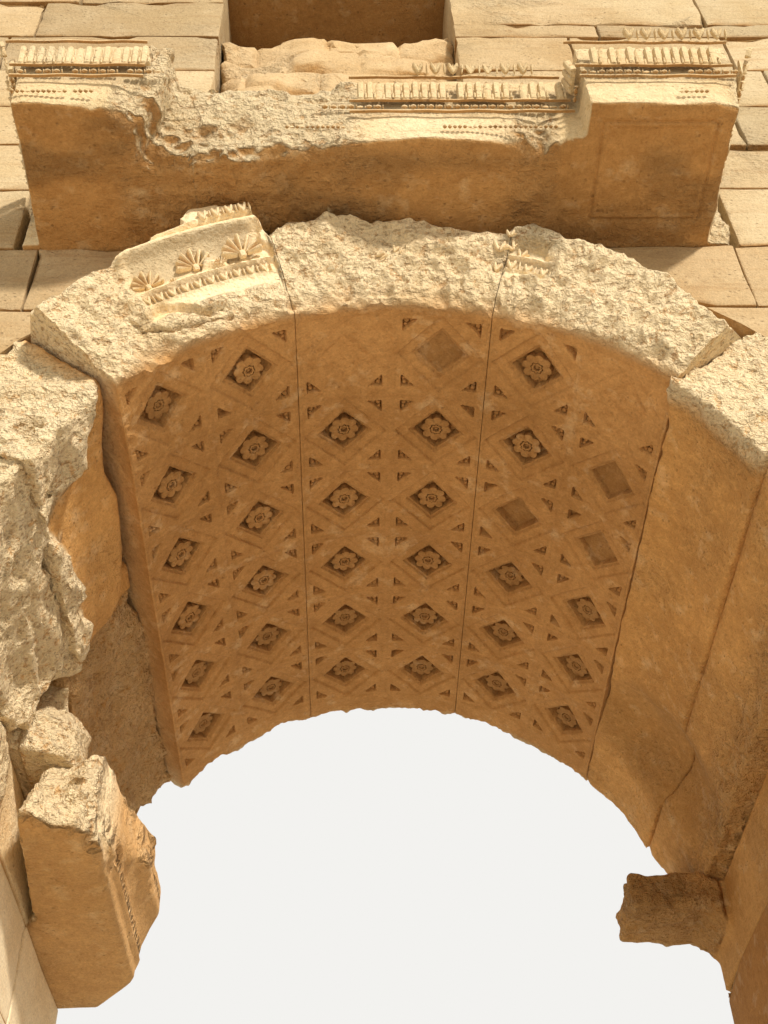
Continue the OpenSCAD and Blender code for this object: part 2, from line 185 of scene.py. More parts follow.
    # Coats of colour, each laid over the coat named first
    # The patina colour is the brown of real patina and also painted shade: it is laid where the stone is sheltered and
    # where it stands in shade.
    coats = {"stone": linear(open_tone), "patina": linear(patina_and_shade_tone)}
    for coat, share, over in (
            ("stone", "open stain", toned(open_tone, 0.88, 0.82, 0.72)),
            ("patina", "dry stain", toned(patina_and_shade_tone, 0.80, 0.77, 0.72)),
            ("patina", "light spots", toned(patina_and_shade_tone, 1.25, 1.30, 1.38)),
            ("patina", "dark spots", toned(patina_and_shade_tone, 0.70, 0.62, 0.52)),
            ("stone", "sheltered_and_shaded", "patina"), ("stone", "fresh", linear(broken_tone)),
            ("stone", "beds", toned(patina_and_shade_tone, 0.85, 0.8, 0.75)), ("stone", "clouds", toned(open_tone, 1.12)),
            # Low places of the relief are painted a darker orange; nicks and pits, which are also dented into the
            # relief, are painted dark, painted shade for the shade inside them.
            ("stone", "low places", toned(patina_and_shade_tone, 1.02, 0.92, 0.78)),
            ("stone", "dark nicks", toned(patina_and_shade_tone, 0.62, 0.50, 0.36)),
            ("stone", "pits", toned(patina_and_shade_tone, 0.38, 0.34, 0.30))):
        coats[coat] = add(tree, "ShaderNodeMix", {0: found[share], 6: coats[coat], 7: coats.get(over, over)},
                          data_type="RGBA").outputs[2]
    shade = add(tree, "ShaderNodeCombineColor", {channel: found["shade"] for channel in (0, 1, 2)}).outputs[0]
    colour = add(tree, "ShaderNodeMix", {0: 1.0, 6: coats["stone"], 7: shade}, data_type="RGBA",
                 blend_type="MULTIPLY").outputs[2]
    relief = found["crag relief"]
    for height in ("mottle", "bed", "grain", "grit", "pit", "nick"):
        relief = add(tree, "ShaderNodeMath", {0: relief, 1: found[height + " relief"]}, operation="ADD").outputs[0]
    bump = add(tree, "ShaderNodeBump", {"Height": relief, "Distance": 1.0, "Strength": 1.0}).outputs[0]
    shader = add(tree, "ShaderNodeBsdfPrincipled", {"Base Color": colour, "Roughness": 0.92, "Normal": bump, "IOR": 1.5,
                                                    "Specular IOR Level": 0.25})
    add(tree, "ShaderNodeOutputMaterial", {0: shader.outputs[0]})
    return material


def mesh_of(name, verts, faces):
    """A mesh from an array of points and a list of arrays of faces, all faces of an array with the same corners."""
    mesh = bpy.data.meshes.new(name)
    mesh.vertices.add(len(verts))
    mesh.vertices.foreach_set("co", np.asarray(verts, np.float32).ravel())
    around = np.concatenate([f.ravel() for f in faces]).astype(np.int32)
    counts = np.concatenate([np.full(len(f), f.shape[1]) for f in faces])
    mesh.loops.add(len(around))
    mesh.loops.foreach_set("vertex_index", around)
    mesh.polygons.add(len(counts))
    mesh.polygons.foreach_set("loop_start", np.concatenate([[0], np.cumsum(counts)[:-1]]).astype(np.int32))
    mesh.update(calc_edges=True)
    mesh.validate()
    return mesh


def put(name, data):
    """Puts an object with this data in the scene."""
    item = bpy.data.objects.new(name, data)
    bpy.context.scene.collection.objects.link(item)
    return item


def settled(item):
    """The plain mesh of an object after its modifiers. They and the object are taken away."""
    mesh = bpy.data.meshes.new_from_object(item.evaluated_get(bpy.context.evaluated_depsgraph_get()))
    item.modifiers.clear()
    bpy.data.objects.remove(item)
    return mesh


def lay(name, mesh, material, nodes, marks, limit=None, sharp=38):
    """Makes a finished piece of a mesh: thins it to a number of triangles, gives it its marks and its
    material, hides the CAD nodes it stands for and hangs it on the root body. Marks is a function of places and
    normals."""
    if limit and len(mesh.polygons) * 2 > limit:
        raw = put(name + "_raw", mesh)
        thin = raw.modifiers.new("thin", "DECIMATE")
        thin.ratio = limit / (len(mesh.polygons) * 2)
        thin.use_collapse_triangulate = True
        mesh = settled(raw)
    mesh.name = name
    mesh.shade_smooth()
    mesh.set_sharp_from_angle(angle=math.radians(sharp))
    count = len(mesh.vertices)
    place, normal = np.empty(count * 3, np.float32), np.empty(count * 3, np.float32)
    mesh.vertices.foreach_get("co", place)
    mesh.vertices.foreach_get("normal", normal)
    found = marks(place.reshape(-1, 3), normal.reshape(-1, 3))
    for mark in MARKS:
        if mark in mesh.attributes:
            continue
        layer = mesh.attributes.new(mark, "FLOAT", "POINT")
        layer.data.foreach_set("value", np.broadcast_to(np.asarray(found.get(mark, 0), np.float32), count).copy())
    mesh.materials.clear()
    mesh.materials.append(material)
    piece = put(name, mesh)
    if nodes:
        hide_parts(*nodes)
    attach(piece, "root")
    return piece


def gathered(parts):
    """Several shapes as one: points, and faces in the same groups as each part has them."""
    counts = np.cumsum([0] + [len(points) for points, faces in parts])
    groups = zip(*([f + count for f in faces] for (points, faces), count in zip(parts, counts)))
    return np.concatenate([points for points, faces in parts]), [np.concatenate(group) for group in groups]


def squared_block(low, high, step, arris, seed, wear=1.0, joint=0.004):
    """One squared block between two corners, with rubbed arrises, chips and a dressed face, as points and quads."""
    low, high = np.array(low, float) + joint, np.array(high, float) - joint
    lines = []
    for a, b in zip(low, high):
        edge = [0, 0.4 * arris, 1.1 * arris, 2.6 * arris]
        inner = np.linspace(a + 5 * arris, b - 5 * arris, max(2, int((b - a) / step)))
        lines.append(np.concatenate([[a + e for e in edge], inner, [b - e for e in reversed(edge)]]))
    n = [len(line) for line in lines]
    skin = np.zeros(n, bool)
    skin[0], skin[-1], skin[:, 0], skin[:, -1], skin[:, :, 0], skin[:, :, -1] = (True,) * 6
    index = np.full(n, -1)
    index[skin] = np.arange(skin.sum())
    p = np.stack(np.meshgrid(*lines, indexing="ij"), -1)[skin]
    core = np.clip(p, low + arris, high - arris)
    out = p - core
    out /= np.linalg.norm(out, axis=1, keepdims=True)
    near = np.sort(np.minimum(p - low, high - p), axis=1)[:, 1]
    p = core + out * arris
    chip = np.clip(rough(p, 0.22, 3, seed * 3.1) - 0.15, 0, 1) * np.exp(-(near / 0.05) ** 2) * 0.05 * wear
    face = rough(p, (0.6, 0.6, 0.16), 3, seed) * 0.007 * wear
    face = face + rough(p, (0.30, 0.30, 0.05), 2, seed + 5) * 0.0035 * wear
    p = p + out * (face - chip - 0.003)[:, None]
    quads = []
    for axis in range(3):
        for end in (0, -1):
            side = np.take(index, end, axis=axis)
            q = np.stack([side[:-1, :-1], side[1:, :-1], side[1:, 1:], side[:-1, 1:]], -1).reshape(-1, 4)
            quads.append(q if (end == -1) != (axis == 1) else q[:, ::-1])
    return p, [np.concatenate(quads)]


def coursed(name, blocks, step, arris, material, nodes, marks, seed, wear=1.0, limit=None, painted_light=0.0):
    """Lays a list of block boxes as one piece. Each block has its own tone and its own wear; the last argument lightens
    the whole piece, as painted light.
    """
    parts = [squared_block(low, high, step, arris, seed + k * 1.37, wear) for k, (low, high) in enumerate(blocks)]
    tones = [np.full(len(points), np.sin((seed + k) * 12.9898) % 1 * 1.2 - 2.0 + painted_light)
             for k, (points, _) in enumerate(parts)]
    mesh = mesh_of(name, *gathered(parts))
    layer = mesh.attributes.new("tone", "FLOAT", "POINT")
    layer.data.foreach_set("value", np.concatenate(tones).astype(np.float32))
    return lay(name, mesh, material, nodes, marks, limit)


def corners(node):
    low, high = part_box(node)
    return np.array(low), np.array(high)


def split(low, high, axis, cuts):
    """Cuts a box across one axis at fractions of its length."""
    edges = [0, *cuts, 1]
    boxes = []
    for a, b in pairwise(edges):
        l, h = np.array(low, float), np.array(high, float)
        l[axis], h[axis] = low[axis] + (high[axis] - low[axis]) * a, low[axis] + (high[axis] - low[axis]) * b
        boxes.append((l, h))
    return boxes


# Point-dressed limestone: warm yellow, beds that weather out as faint streaks, small pits
dressed = limestone("point_dressed_limestone", "#E3C796", "#C79A5E", "#D2B483", streak=0.5, pits=0.5)


def open_marks(p, normal):
    """Faces that look down keep their patina and are painted darker for the shade under them; faces open to rain have
    lost it.
    """
    return {"sheltered_and_shaded": ease(-normal[:, 2], 0.1, 0.8), "broken": ease(rough(p, 0.35, 2, 4), 0.35, 0.8) * 0.5}


for side in ("left", "right"):
    low, high = corners(side + "_base")
    coursed(side + "_base_course", split(low, high, 1, (0.3, 0.66)), 0.16, 0.02, dressed, [side + "_base"],
            open_marks, seed=3 if side == "left" else 8, wear=1.6)


# ---------------------------------------------------------------- piers
# Each pier is eight courses of big limestone blocks, two or three to a course, laid dry with hair joints.
# Their faces to the passage were sheltered by the vault and are still smooth.

# Smooth-rubbed limestone: pale and even, with soft stains and few pits; its dark brown also paints the shade on the
# right pier's face to the passage
rubbed = limestone("smooth_rubbed_limestone", "#EDD9B4", "#B58245", "#DCC196", streak=0.3, pits=0.25, coarse=0.5)
COURSE_CUTS = {0: (0.31, 0.70), 1: (0.44,), 2: (0.28, 0.63), 3: (0.55,)}


def pier_marks(p, normal):
    """The face of the upper right pier to the passage, under the full vault, is painted brown: painted shade for the
    shade it stands in.
    """
    found = open_marks(p, normal)
    painted_pier_shade = ease(-normal[:, 0], 0.4, 0.8) * ease(p[:, 0], 1.9, 1.95)
    painted_pier_shade = painted_pier_shade * ease(3.0 - p[:, 0], 0, 0.2) * ease(p[:, 2], 3.2, 4.2)
    return {"sheltered_and_shaded": np.maximum(found["sheltered_and_shaded"], painted_pier_shade), "broken": found["broken"] * (1 - painted_pier_shade)}


def pier_blocks(node, first):
    low, high = corners(node)
    boxes = []
    for k, (l, h) in enumerate(split(low, high, 2, (0.25, 0.5, 0.75))):
        boxes += split(l, h, 1, COURSE_CUTS[(k + first) % 4])
    return boxes


# The left pier's blocks are all painted lighter: painted light for the sunlight on its face to the passage.
for side in ("left", "right"):
    for lift, first in (("lower", 0), ("upper", 1)):
        node = f"{side}_pier_{lift}"
        coursed(node + "_courses", pier_blocks(node, first + (side == "right")), 0.28, 0.012, rubbed, [node],
                pier_marks, seed=20 + 5 * first + (side == "right") * 13, wear=1.1, limit=9000,
                painted_light=1.5 * (side == "left"))


# ---------------------------------------------------------------- imposts
# The stone on top of each pier that carried the foot of the arch: flat soffit, fillet, hollow moulding
# and lip, cut from one block. The left one has lost its front, the right one all but its rear end.

AXIS = 5.4
R_IN = 1.8
FRONT, REAR = -1.75, 1.75
PIER_X = 2.0
# How far a face that keeps to the line of the pier stands back from it
FLUSH = 0.012


def carve(field, low, high, cell):
    """The closed skin of the solid where field(points) is below 0, found on a grid of cubes of one cell."""
    low = np.asarray(low, np.float64)
    n = (np.ceil((np.asarray(high) - low) / cell) + 1).astype(int)
    axes = [(low[k] + cell * np.arange(n[k])).astype(np.float32) for k in range(3)]
    value = np.empty(n, np.float32)
    for i in range(0, n[0], 24):
        part = np.stack(np.meshgrid(axes[0][i:i + 24], axes[1], axes[2], indexing="ij"), -1)
        value[i:i + 24] = field(part.reshape(-1, 3)).reshape(part.shape[:3])
    for axis in range(3):
        for end in (0, -1):
            at = [slice(None)] * 3
            at[axis] = end
            value[tuple(at)] = np.maximum(value[tuple(at)], cell * 0.5)
    value[value == 0] = 1e-6
    solid = value < 0
    steps = [(a, b, c) for a in (0, 1) for b in (0, 1) for c in (0, 1)]
    filled = sum(solid[a:n[0] - 1 + a, b:n[1] - 1 + b, c:n[2] - 1 + c].astype(np.int8) for a, b, c in steps)
    mixed = (filled > 0) & (filled < 8)
    index = np.full(mixed.shape, -1, np.int64)
    index[mixed] = np.arange(mixed.sum())
    cells = np.argwhere(mixed)
    level = [value[cells[:, 0] + a, cells[:, 1] + b, cells[:, 2] + c] for a, b, c in steps]
    total, hits = np.zeros((len(cells), 3)), np.zeros(len(cells))
    for i, a in enumerate(steps):
        for j, b in enumerate(steps):
            if sum(b) - sum(a) == 1 and sum(abs(u - v) for u, v in zip(a, b)) == 1:
                cross = (level[i] < 0) != (level[j] < 0)
                t = np.where(cross, level[i] / np.where(cross, level[i] - level[j], 1), 0)
                total += np.where(cross[:, None], np.array(a) + t[:, None] * (np.array(b) - np.array(a)), 0)
                hits += cross
    verts = low + cell * (cells + total / hits[:, None])
    quads = []
    for axis in range(3):
        u, v = (axis + 1) % 3, (axis + 2) % 3
        one, two = np.moveaxis(solid, axis, 0)[:-1], np.moveaxis(solid, axis, 0)[1:]
        edge = np.argwhere(one != two)
        at = np.empty((len(edge), 3), int)
        others = [k for k in range(3) if k != axis]
        at[:, axis], at[:, others[0]], at[:, others[1]] = edge[:, 0], edge[:, 1], edge[:, 2]
        outward = one[tuple(edge.T)]
        ring = []
        for du, dv in ((-1, -1), (0, -1), (0, 0), (-1, 0)):
            cell_at = at.copy()
            cell_at[:, u] += du
            cell_at[:, v] += dv
            ring.append(index[tuple(cell_at.T)])
        ring = np.stack(ring, -1)
        quads.append(np.where(outward[:, None], ring, ring[:, ::-1]))
    return verts, np.concatenate(quads)


def both(a, b, soft=0.0):
    """The solid that two fields share, with a rounded arris."""
    if soft == 0:
        return np.maximum(a, b)
    h = np.clip(1 - np.abs(a - b) / soft, 0, 1)
    return np.maximum(a, b) + soft * h * h / 4


def either(a, b, soft=0.0):
    return -both(-a, -b, soft)


def polar(p):
    """Angle from the crown in degrees, and distance from the axis of the vault."""
    return np.degrees(np.arctan2(p[:, 0], p[:, 2] - AXIS)), np.hypot(p[:, 0], p[:, 2] - AXIS)


def outline(u, v, points):
    """Signed distance to a closed outline in a plane."""
    points = np.asarray(points, np.float32)
    best, inside = np.full(len(u), 1e9, np.float32), np.zeros(len(u), bool)
    for (ax, ay), (bx, by) in zip(points, np.roll(points, -1, 0)):
        ex, ey = bx - ax, by - ay
        t = np.clip(((u - ax) * ex + (v - ay) * ey) / (ex * ex + ey * ey), 0, 1)
        best = np.minimum(best, np.hypot(u - ax - t * ex, v - ay - t * ey))
        if ay != by:
            inside ^= ((ay > v) != (by > v)) & (u < ax + (v - ay) * ex / ey)
    return np.where(inside, -best, best)


def block(p, low, high):
    low, high = np.asarray(low), np.asarray(high)
    return np.max(np.maximum(low - p, p - high), axis=1)


def lump(p, centre, radii):
    q = (p - np.asarray(centre)) / np.asarray(radii)
    length = np.linalg.norm(q, axis=1)
    return (length - 1) * np.min(radii)


def fracture(p, shift=0.0, size=0.42):
    """How far a broken face stands in or out: scoops between sharp ridges, from a forearm down to a thumb."""
    depth = np.full(len(p), -0.044, np.float32)
    for k, (share, divisor) in enumerate(((0.062, 1.0), (0.036, 2.1), (0.024, 4.4), (0.014, 8.7))):
        width = size / divisor
        turned = p if k % 2 == 0 else p[:, [1, 2, 0]] + 0.3 * p[:, [2, 0, 1]]
        widths = (width, width, width * 0.62) if k % 2 == 0 else (width, width * 0.62, width)
        depth += np.abs(grain(turned, widths, shift + 3 * k)) * share
    return depth + rough(p, 0.055, 2, shift + 9) * 0.006


def ruin_detail(p, field, share, shift):
    """Broken faces in full, dressed faces with a trace of weathering, worked out only where the surface is near."""
    close = np.abs(field) < 0.12
    detail = np.zeros(len(p), np.float32)
    detail[close] = fracture(p[close], shift) * (share[close] if np.ndim(share) else share)
    return detail


def stone_marks(patina, broken):
    """Marks for a rough stone: patina and broken are functions of place, angle and normal, from 0 to 1."""
    def marks(p, normal):
        angle, _ = polar(p)
        inner = ease(2.6 - np.abs(p[:, 0]), 0, 0.3)
        # Painted shade: the tone is darker inside the hollow of the right haunch and on the low inner parts beside the
        # piers, for the shade that lies there.
        low = ease(AXIS + 0.12 - p[:, 2], 0, 0.1)
        corner = 0.8 * ease(p[:, 0], 1.2, 1.3) + 0.55 * ease(-p[:, 0], 1.2, 1.3) * ease(-normal[:, 2], 0.3, 0.6)
        dark = ease(-hollow(p), -0.06, 0.03) + low * corner
        return {"sheltered_and_shaded": np.clip(patina(p, angle, normal), 0, 1) * inner, "tone": 0.9 - 2.2 * dark,
                "broken": np.clip(broken(p, angle, normal) + 0.25 * rough(p, 0.3, 2, 7), 0, 1)}
    return marks


# Broken limestone: lit faces pale and dusty, hollows ochre with patina and painted shade, coarse fractured skin with
# many small holes
fractured = limestone("fractured_limestone", "#F4DDB2", "#D2A060", "#F6DEB2", streak=0.4, pits=0.6, coarse=1.3)
ROUGH_CELL = 0.0125


def carved_stone(node, field, patina, broken, limit, margin=0.05, reach=0):
    """Carves the rough stone of a CAD node out of its box, with a margin, and a reach further at the high end."""
    low, high = corners(node)
    verts, quads = carve(field, low - margin, high + margin + reach, ROUGH_CELL)
    lay(node + "_stone", mesh_of(node, verts, [quads]), fractured, [node], stone_marks(patina, broken), limit)


# Section of the impost over the passage: distance from the face of the pier at heights over its underside
IMPOST_Z, IMPOST_TOP = 5.02, 5.52
MEMBER_Z = [0.0, 0.07, 0.08, 0.10, 0.12, 0.20, 0.27, 0.30, 0.32, 0.50]
MEMBER_X = [0.485, 0.485, 0.50, 0.515, 0.50, 0.515, 0.565, 0.60, 0.62, 0.62]


def left_shaft(x, y):
    """The line of the left pier, with its front corner broken off on a slant."""
    return both(x + PIER_X + FLUSH, (x + 2.3) * 0.894 - (y - FRONT) * 0.447, 0.05)


def left_impost_field(p):
    x, y, z = p.T
    height = z - IMPOST_Z
    moulded = x - (np.interp(height, MEMBER_Z, MEMBER_X) - PIER_X)
    holes = ease(np.cos(2 * np.pi * y / 0.058), -0.1, 0.5) * (ease(0.020 - np.abs(height - 0.16), 0, 0.012)
                                                              + ease(0.026 - np.abs(height - 0.40), 0, 0.012))
    knocks = ease(rough(p, 0.22, 3, 41), 0.10, 0.50) * ease(0.55 - y, 0, 0.4)
    moulded = moulded + holes * 0.022 + 0.055 * knocks
    broken_front = np.interp(x, [-2.02, -1.96, -1.91, -1.87, -1.81, -1.71, -1.60, -1.53, -1.48, -1.43, -1.38],
                             [0.75, 0.60, 0.05, -0.36, -0.42, -0.30, -0.26, -0.16, 0.08, 0.45, 0.62])
    broken_front = broken_front + height * (0.10 + 0.50 * ease(-1.55 - x, 0, 0.25))
    broken_rear = np.interp(x, [-1.8, -1.50, -1.37], [1.80, 1.40, 1.22])
    head = both(both(moulded, (broken_front - y) * 0.6, 0.04), (y - broken_rear) * 0.75, 0.04)
    solid = either(left_shaft(x, y), head, 0.02)
    solid = both(solid, block(p, (-3.496, FRONT, IMPOST_Z), (-1.3, REAR, IMPOST_TOP)), 0.045)
    ruin = np.clip(1.25 - np.abs(broken_front + 0.08 - y) / 0.25, 0, 1) * (0.4 + 0.6 * ease(height, 0.0, 0.05))
    ruin = np.where(x < -1.965, ease(-0.15 - y, 0, 0.1), ruin)
    return solid + ruin_detail(p, solid, np.clip(ruin, 0.05, 1), 2.0)


def right_impost_field(p):
    x, y, z = p.T
    remnant = outline(x, z, [(3.6, 4.9), (2.02, 4.9), (2.06, 5.19), (1.98, 5.23), (1.87, 5.36), (1.55, 5.345),
                             (1.44, 5.37), (1.43, 5.6), (3.6, 5.6)])
    head = both(remnant, (1.22 + 0.1 * (x - 1.4) - y) * 0.9, 0.05)
    solid = either(-x + PIER_X + FLUSH, head, 0.04)
    solid = both(solid, block(p, (1.3, FRONT, IMPOST_Z), (3.496, REAR, IMPOST_TOP)), 0.03)
    ruin = np.where(x < 1.98, 0.8, 0.08)
    return solid + ruin_detail(p, solid, ruin, 5.0)


def hollow(p):
    """The big round hollow weathered into the right haunch: negative inside it."""
    centre = (1.11 * math.sin(math.radians(71)), 0.86, AXIS + 1.11 * math.cos(math.radians(71)))
    return lump(p, centre, (0.86, 0.72, 0.88))


def left_impost_patina_and_shade(p, angle, normal):
    """The flat underside and the mouldings kept their patina, and their brown also paints the shade that lies on them;
    the broken front has not.
    """
    down = ease(-normal[:, 2], 0.35, 0.75)
    moulded = ease(normal[:, 0], 0.35, 0.7) * ease(p[:, 1], -0.1, 0.25) * ease(p[:, 0], -1.7, -1.6)
    return 0.85 * np.maximum(down, moulded)


def left_impost_broken(p, angle, normal):
    return np.maximum(ease(-normal[:, 1], 0.1, 0.5) * ease(p[:, 0], -2.0, -1.96),
                      ease(-0.15 - p[:, 1], 0, 0.1) * ease(normal[:, 2], -0.6, -0.3))


def right_patina_and_shade(p, angle, normal):
    """The whole inside of the right-hand stones, from behind the front edge to the rear: patina, and painted shade for
    the shade they stand in.
    """
    return ease(p[:, 1], -1.74, -1.60) * ease(1.80 - p[:, 1], 0, 0.08)


def right_impost_broken(p, angle, normal):
    return 0.75 * ease(2.0 - p[:, 0], 0, 0.05)


carved_stone("left_impost", left_impost_field, left_impost_patina_and_shade, left_impost_broken, limit=30000)
carved_stone("right_impost", right_impost_field, right_patina_and_shade, right_impost_broken, limit=30000)


# ---------------------------------------------------------------- springers
# The lowest stones of the arch ring: big limestone blocks laid dry on the imposts. Both have lost the
# face towards the passage. On the left the break goes back to the line of the pier, and one rough mass
# still stands out.

RING_OUT = 2.455


def sector(p, start, end):
    """The room of a stone of the ring between two angles."""
    angle, radius = polar(p)
    turn = np.radians(np.maximum(start - angle, angle - end)) * radius
    return np.maximum(np.maximum(turn, radius - RING_OUT), np.maximum(FRONT - p[:, 1], p[:, 1] - REAR)), angle, radius


def left_springer_field(p):
    x, y, z = p.T
    room, _, radius = sector(p, -92, -70.05)
    behind = both(1.955 - radius, (0.02 - y) * 0.8, 0.06)
    torn = x - np.interp(z, [5.25, 5.5, 5.7, 5.82, 6.05, 6.2], [-2.0, -1.95, -1.92, -1.85, -1.73, -1.70])
    torn_front = np.interp(z, [5.25, 5.5, 5.7, 5.82, 6.05], [-0.29, -0.33, -0.31, -0.30, -0.17])
    torn = both(torn * 0.8, (y - torn_front) * 0.7, 0.05)
    mass = lump(p, (-1.96, 0.10, 5.62), (0.29, 0.32, 0.36))
    solid = either(either(left_shaft(x, y), behind, 0.03), either(mass, torn, 0.02), 0.03)
    solid = both(both(solid, room, 0.015), IMPOST_TOP - z, 0.01)
    return solid + ruin_detail(p, solid, np.where(x < -1.965, 0.05 + 0.95 * ease(-0.25 - y, 0, 0.1), 1.0), 3.0)


def right_springer_field(p):
    room, angle, radius = sector(p, 70.05, 92)
    solid = both(1.83 + 0.06 * ease(angle, 72, 84) - radius, -hollow(p), 0.05)
    solid = both(both(solid, room, 0.015), IMPOST_TOP - p[:, 2], 0.01)
    return solid + ruin_detail(p, solid, 0.30 + ease(angle, 76, 84) * 0.6, 6.0)


def left_springer_patina_and_shade(p, angle, normal):
    """Dark behind, where the vault kept the rain off: patina, and painted shade for the shade back there; the mass in
    front is sunlit and dusty.
    """
    return 0.75 * ease(p[:, 1], -0.02, 0.25) * ease(p[:, 0], -2.0, -1.97) * ease(normal[:, 1], -0.55, -0.2)


def left_springer_broken(p, angle, normal):
    return np.maximum(ease(p[:, 0], -2.0, -1.96), ease(-0.15 - p[:, 1], 0, 0.1))


def right_springer_broken(p, angle, normal):
    return 0.2 + 0.6 * ease(angle, 76, 84)


carved_stone("left_springer", left_springer_field, left_springer_patina_and_shade, left_springer_broken,
             limit=22000, reach=np.array([0.5, 0, 0]))
carved_stone("right_springer", right_springer_field, right_patina_and_shade, right_springer_broken, limit=22000)


# ---------------------------------------------------------------- haunches
# The plain limestone blocks wedged between the springers and the coffered stones. The left one has split
# along its beds: a smooth pillow is left in front, rough stone behind. The right one keeps its surface
# round a hollow.

CHIP_TURN = [-70, -69.1, -64.8, -59.8, -58.3, -56.1, -54.3, -52.6, -50]
CHIP_Y = [-1.12, -1.21, -1.33, -1.37, -1.47, -1.56, -1.64, -1.75, -1.8]


def smooth_skin(p, angle):
    """How far a place lies inside the smooth part of the left haunch, in metres: behind the break, over its foot."""
    foot = np.interp(p[:, 1], [-1.30, -1.10, -0.95, -0.65, -0.47, -0.27, -0.17],
                     [-70.0, -67.0, -65.6, -64.7, -65.2, -65.6, -66.0])
    return np.minimum((p[:, 1] - np.interp(angle, CHIP_TURN, CHIP_Y)) * 0.8, (angle - foot) * 1.85 * math.pi / 180)


def left_haunch_field(p):
    x, y = p[:, 0], p[:, 1]
    room, angle, radius = sector(p, -70, -50.4)
    top = np.interp(y, [-1.75, -1.56, -1.37, -1.19, -0.98, -0.59, -0.28, -0.17],
                    [-50.4, -50.6, -52.2, -52.6, -51.0, -51.9, -54.3, -58.0])
    skin = smooth_skin(p, angle)
    pillow = both(1.885 - radius, (angle - top) * 1.9 * math.pi / 180, 0.06)
    pillow = both(pillow, y + 0.16, 0.06)
    torn = both(1.825 - radius, both((skin + 0.01) * 0.8, (y + 0.22) * 0.8, 0.03), 0.05)
    pillow = either(pillow, torn, 0.01)
    behind = both(1.955 - radius, (-0.4 - y) * 0.8, 0.04)
    front = both(x + PIER_X + 0.02, FRONT + 0.02 - y, 0.06)
    solid = both(either(either(pillow, behind, 0.02), front, 0.03), room, 0.012)
    for place, size in (((-1.90, -1.66, 5.98), (0.12, 0.14, 0.20)), ((-1.76, -1.72, 6.26), (0.09, 0.10, 0.08)),
                        ((-1.70, -1.45, 6.02), (0.05, 0.07, 0.10))):
        solid = both(solid, -lump(p, place, size), 0.03)
    smooth = ease(skin, 0.0, 0.04) * ease(-0.16 - y, 0, 0.05)
    return solid + ruin_detail(p, solid, 1.0 - 0.90 * smooth, 4.0)


def left_haunch_patina_and_shade(p, angle, normal):
    """The smooth skin behind the break and the rough stone under the coffered block are in the dry; their brown is
    patina and also painted shadow, for the shadow of the arch's front edge and the shade under the block.
    """
    return ease(np.maximum(smooth_skin(p, angle), p[:, 1] + 0.22), 0.0, 0.04) * (1 - 0.15 * ease(p[:, 1], -0.2, -0.1))


def left_haunch_broken(p, angle, normal):
    return 1.0 - 0.95 * ease(smooth_skin(p, angle), 0.0, 0.04) * ease(-0.16 - p[:, 1], 0, 0.05)


def right_haunch_field(p):
    room, angle, radius = sector(p, 50.25, 69.95)
    solid = both(1.8 + 0.012 * ease(angle, 50, 60) - radius, -hollow(p), 0.05)
    solid = both(solid, room, 0.02)
    return solid + ruin_detail(p, solid, 0.26 + 0.6 * ease(-p[:, 1], 1.5, 1.72), 8.0)


def right_haunch_broken(p, angle, normal):
    return 0.15 + 0.8 * ease(-p[:, 1], 1.55, 1.75)


carved_stone("left_haunch", left_haunch_field, left_haunch_patina_and_shade, left_haunch_broken, limit=36000,
             margin=0.06)
carved_stone("right_haunch", right_haunch_field, right_patina_and_shade, right_haunch_broken, limit=36000,
             margin=0.06)


# ---------------------------------------------------------------- coffered stones
# Three great limestone blocks close the vault, each as deep as the wall and two coffers wide. Their
# undersides are carved in one piece with lozenge coffers, ribs and small corner triangles. Their ends
# carry the archivolt.

BLOCK_A = 16.7
ROW_PITCH = 0.556
FIRST_ROW = 0.025
JOINT = 0.0020
SHEET_CELL = 0.0078

# Wear of each coffer, front row first: 0 is crisp and 1 is gone
WORN = {-2.5: (0.45, 0.12, 0.10, 0.12, 0.30, 0.35), -1.5: (0.15, 0.10, 0.10, 0.15, 0.30, 0.40),
        -0.5: (0.95, 0.10, 0.10, 0.20, 0.35, 0.40), 0.5: (0.30, 0.10, 0.10, 0.15, 0.35, 0.40),
        1.5: (0.35, 0.20, 0.30, 0.40, 0.40, 0.45), 2.5: (0.85, 0.50, 0.45, 0.35, 0.35, 0.40)}
# What is left of the rosette in each coffer: 1 is whole and 0 is gone
ROSETTE = {-2.5: (0.5, 1.0, 1.0, 1.0, 0.6, 0.4), -1.5: (1.0, 1.0, 1.0, 1.0, 0.6, 0.5),
           -0.5: (0, 1.0, 1.0, 0.9, 0.6, 0.5), 0.5: (0, 1.0, 1.0, 1.0, 0.7, 0.5),
           1.5: (0.8, 1.0, 0.0, 0.5, 0.5, 0.4), 2.5: (0, 0, 0, 0.4, 0.5, 0.5)}
# A coffer: its slant, the half sizes of its sunk panel, and the middles of its corner triangles
SLANT = 0.95
PANEL_U, PANEL_V = 0.246, 0.262
TRIANGLE_U, TRIANGLE_V = 0.2625 - 0.053, ROW_PITCH / 2 - 0.054
# Depths of each of its two steps, of its triangles and of the lozenge in its middle
STEP_DEPTH, TRIANGLE_DEPTH, FIELD_DEPTH = 0.014, 0.040, 0.050
# Depth of the few lozenges that were left shallow
SHALLOW = {(-0.5, 0): 0.010, (0.5, 0): 0.020, (2.5, 0): 0.012, (2.5, 1): 0.034, (2.5, 2): 0.036}
# Wear of the triangles along the front edge, where rain reaches them
FRONT_WEAR = {-2.5: 0.6, -1.5: 0.2, -0.5: 1.0, 0.5: 0.5, 1.5: 0.35, 2.5: 1.0}


def arc(angle):
    """Length of an angle in degrees along the underside of the vault, in metres."""
    return angle * math.pi / 180 * R_IN


def spots(*parts):
    """Points for the noise, from numbers and arrays."""
    return np.stack(np.broadcast_arrays(*parts), -1).astype(np.float32)


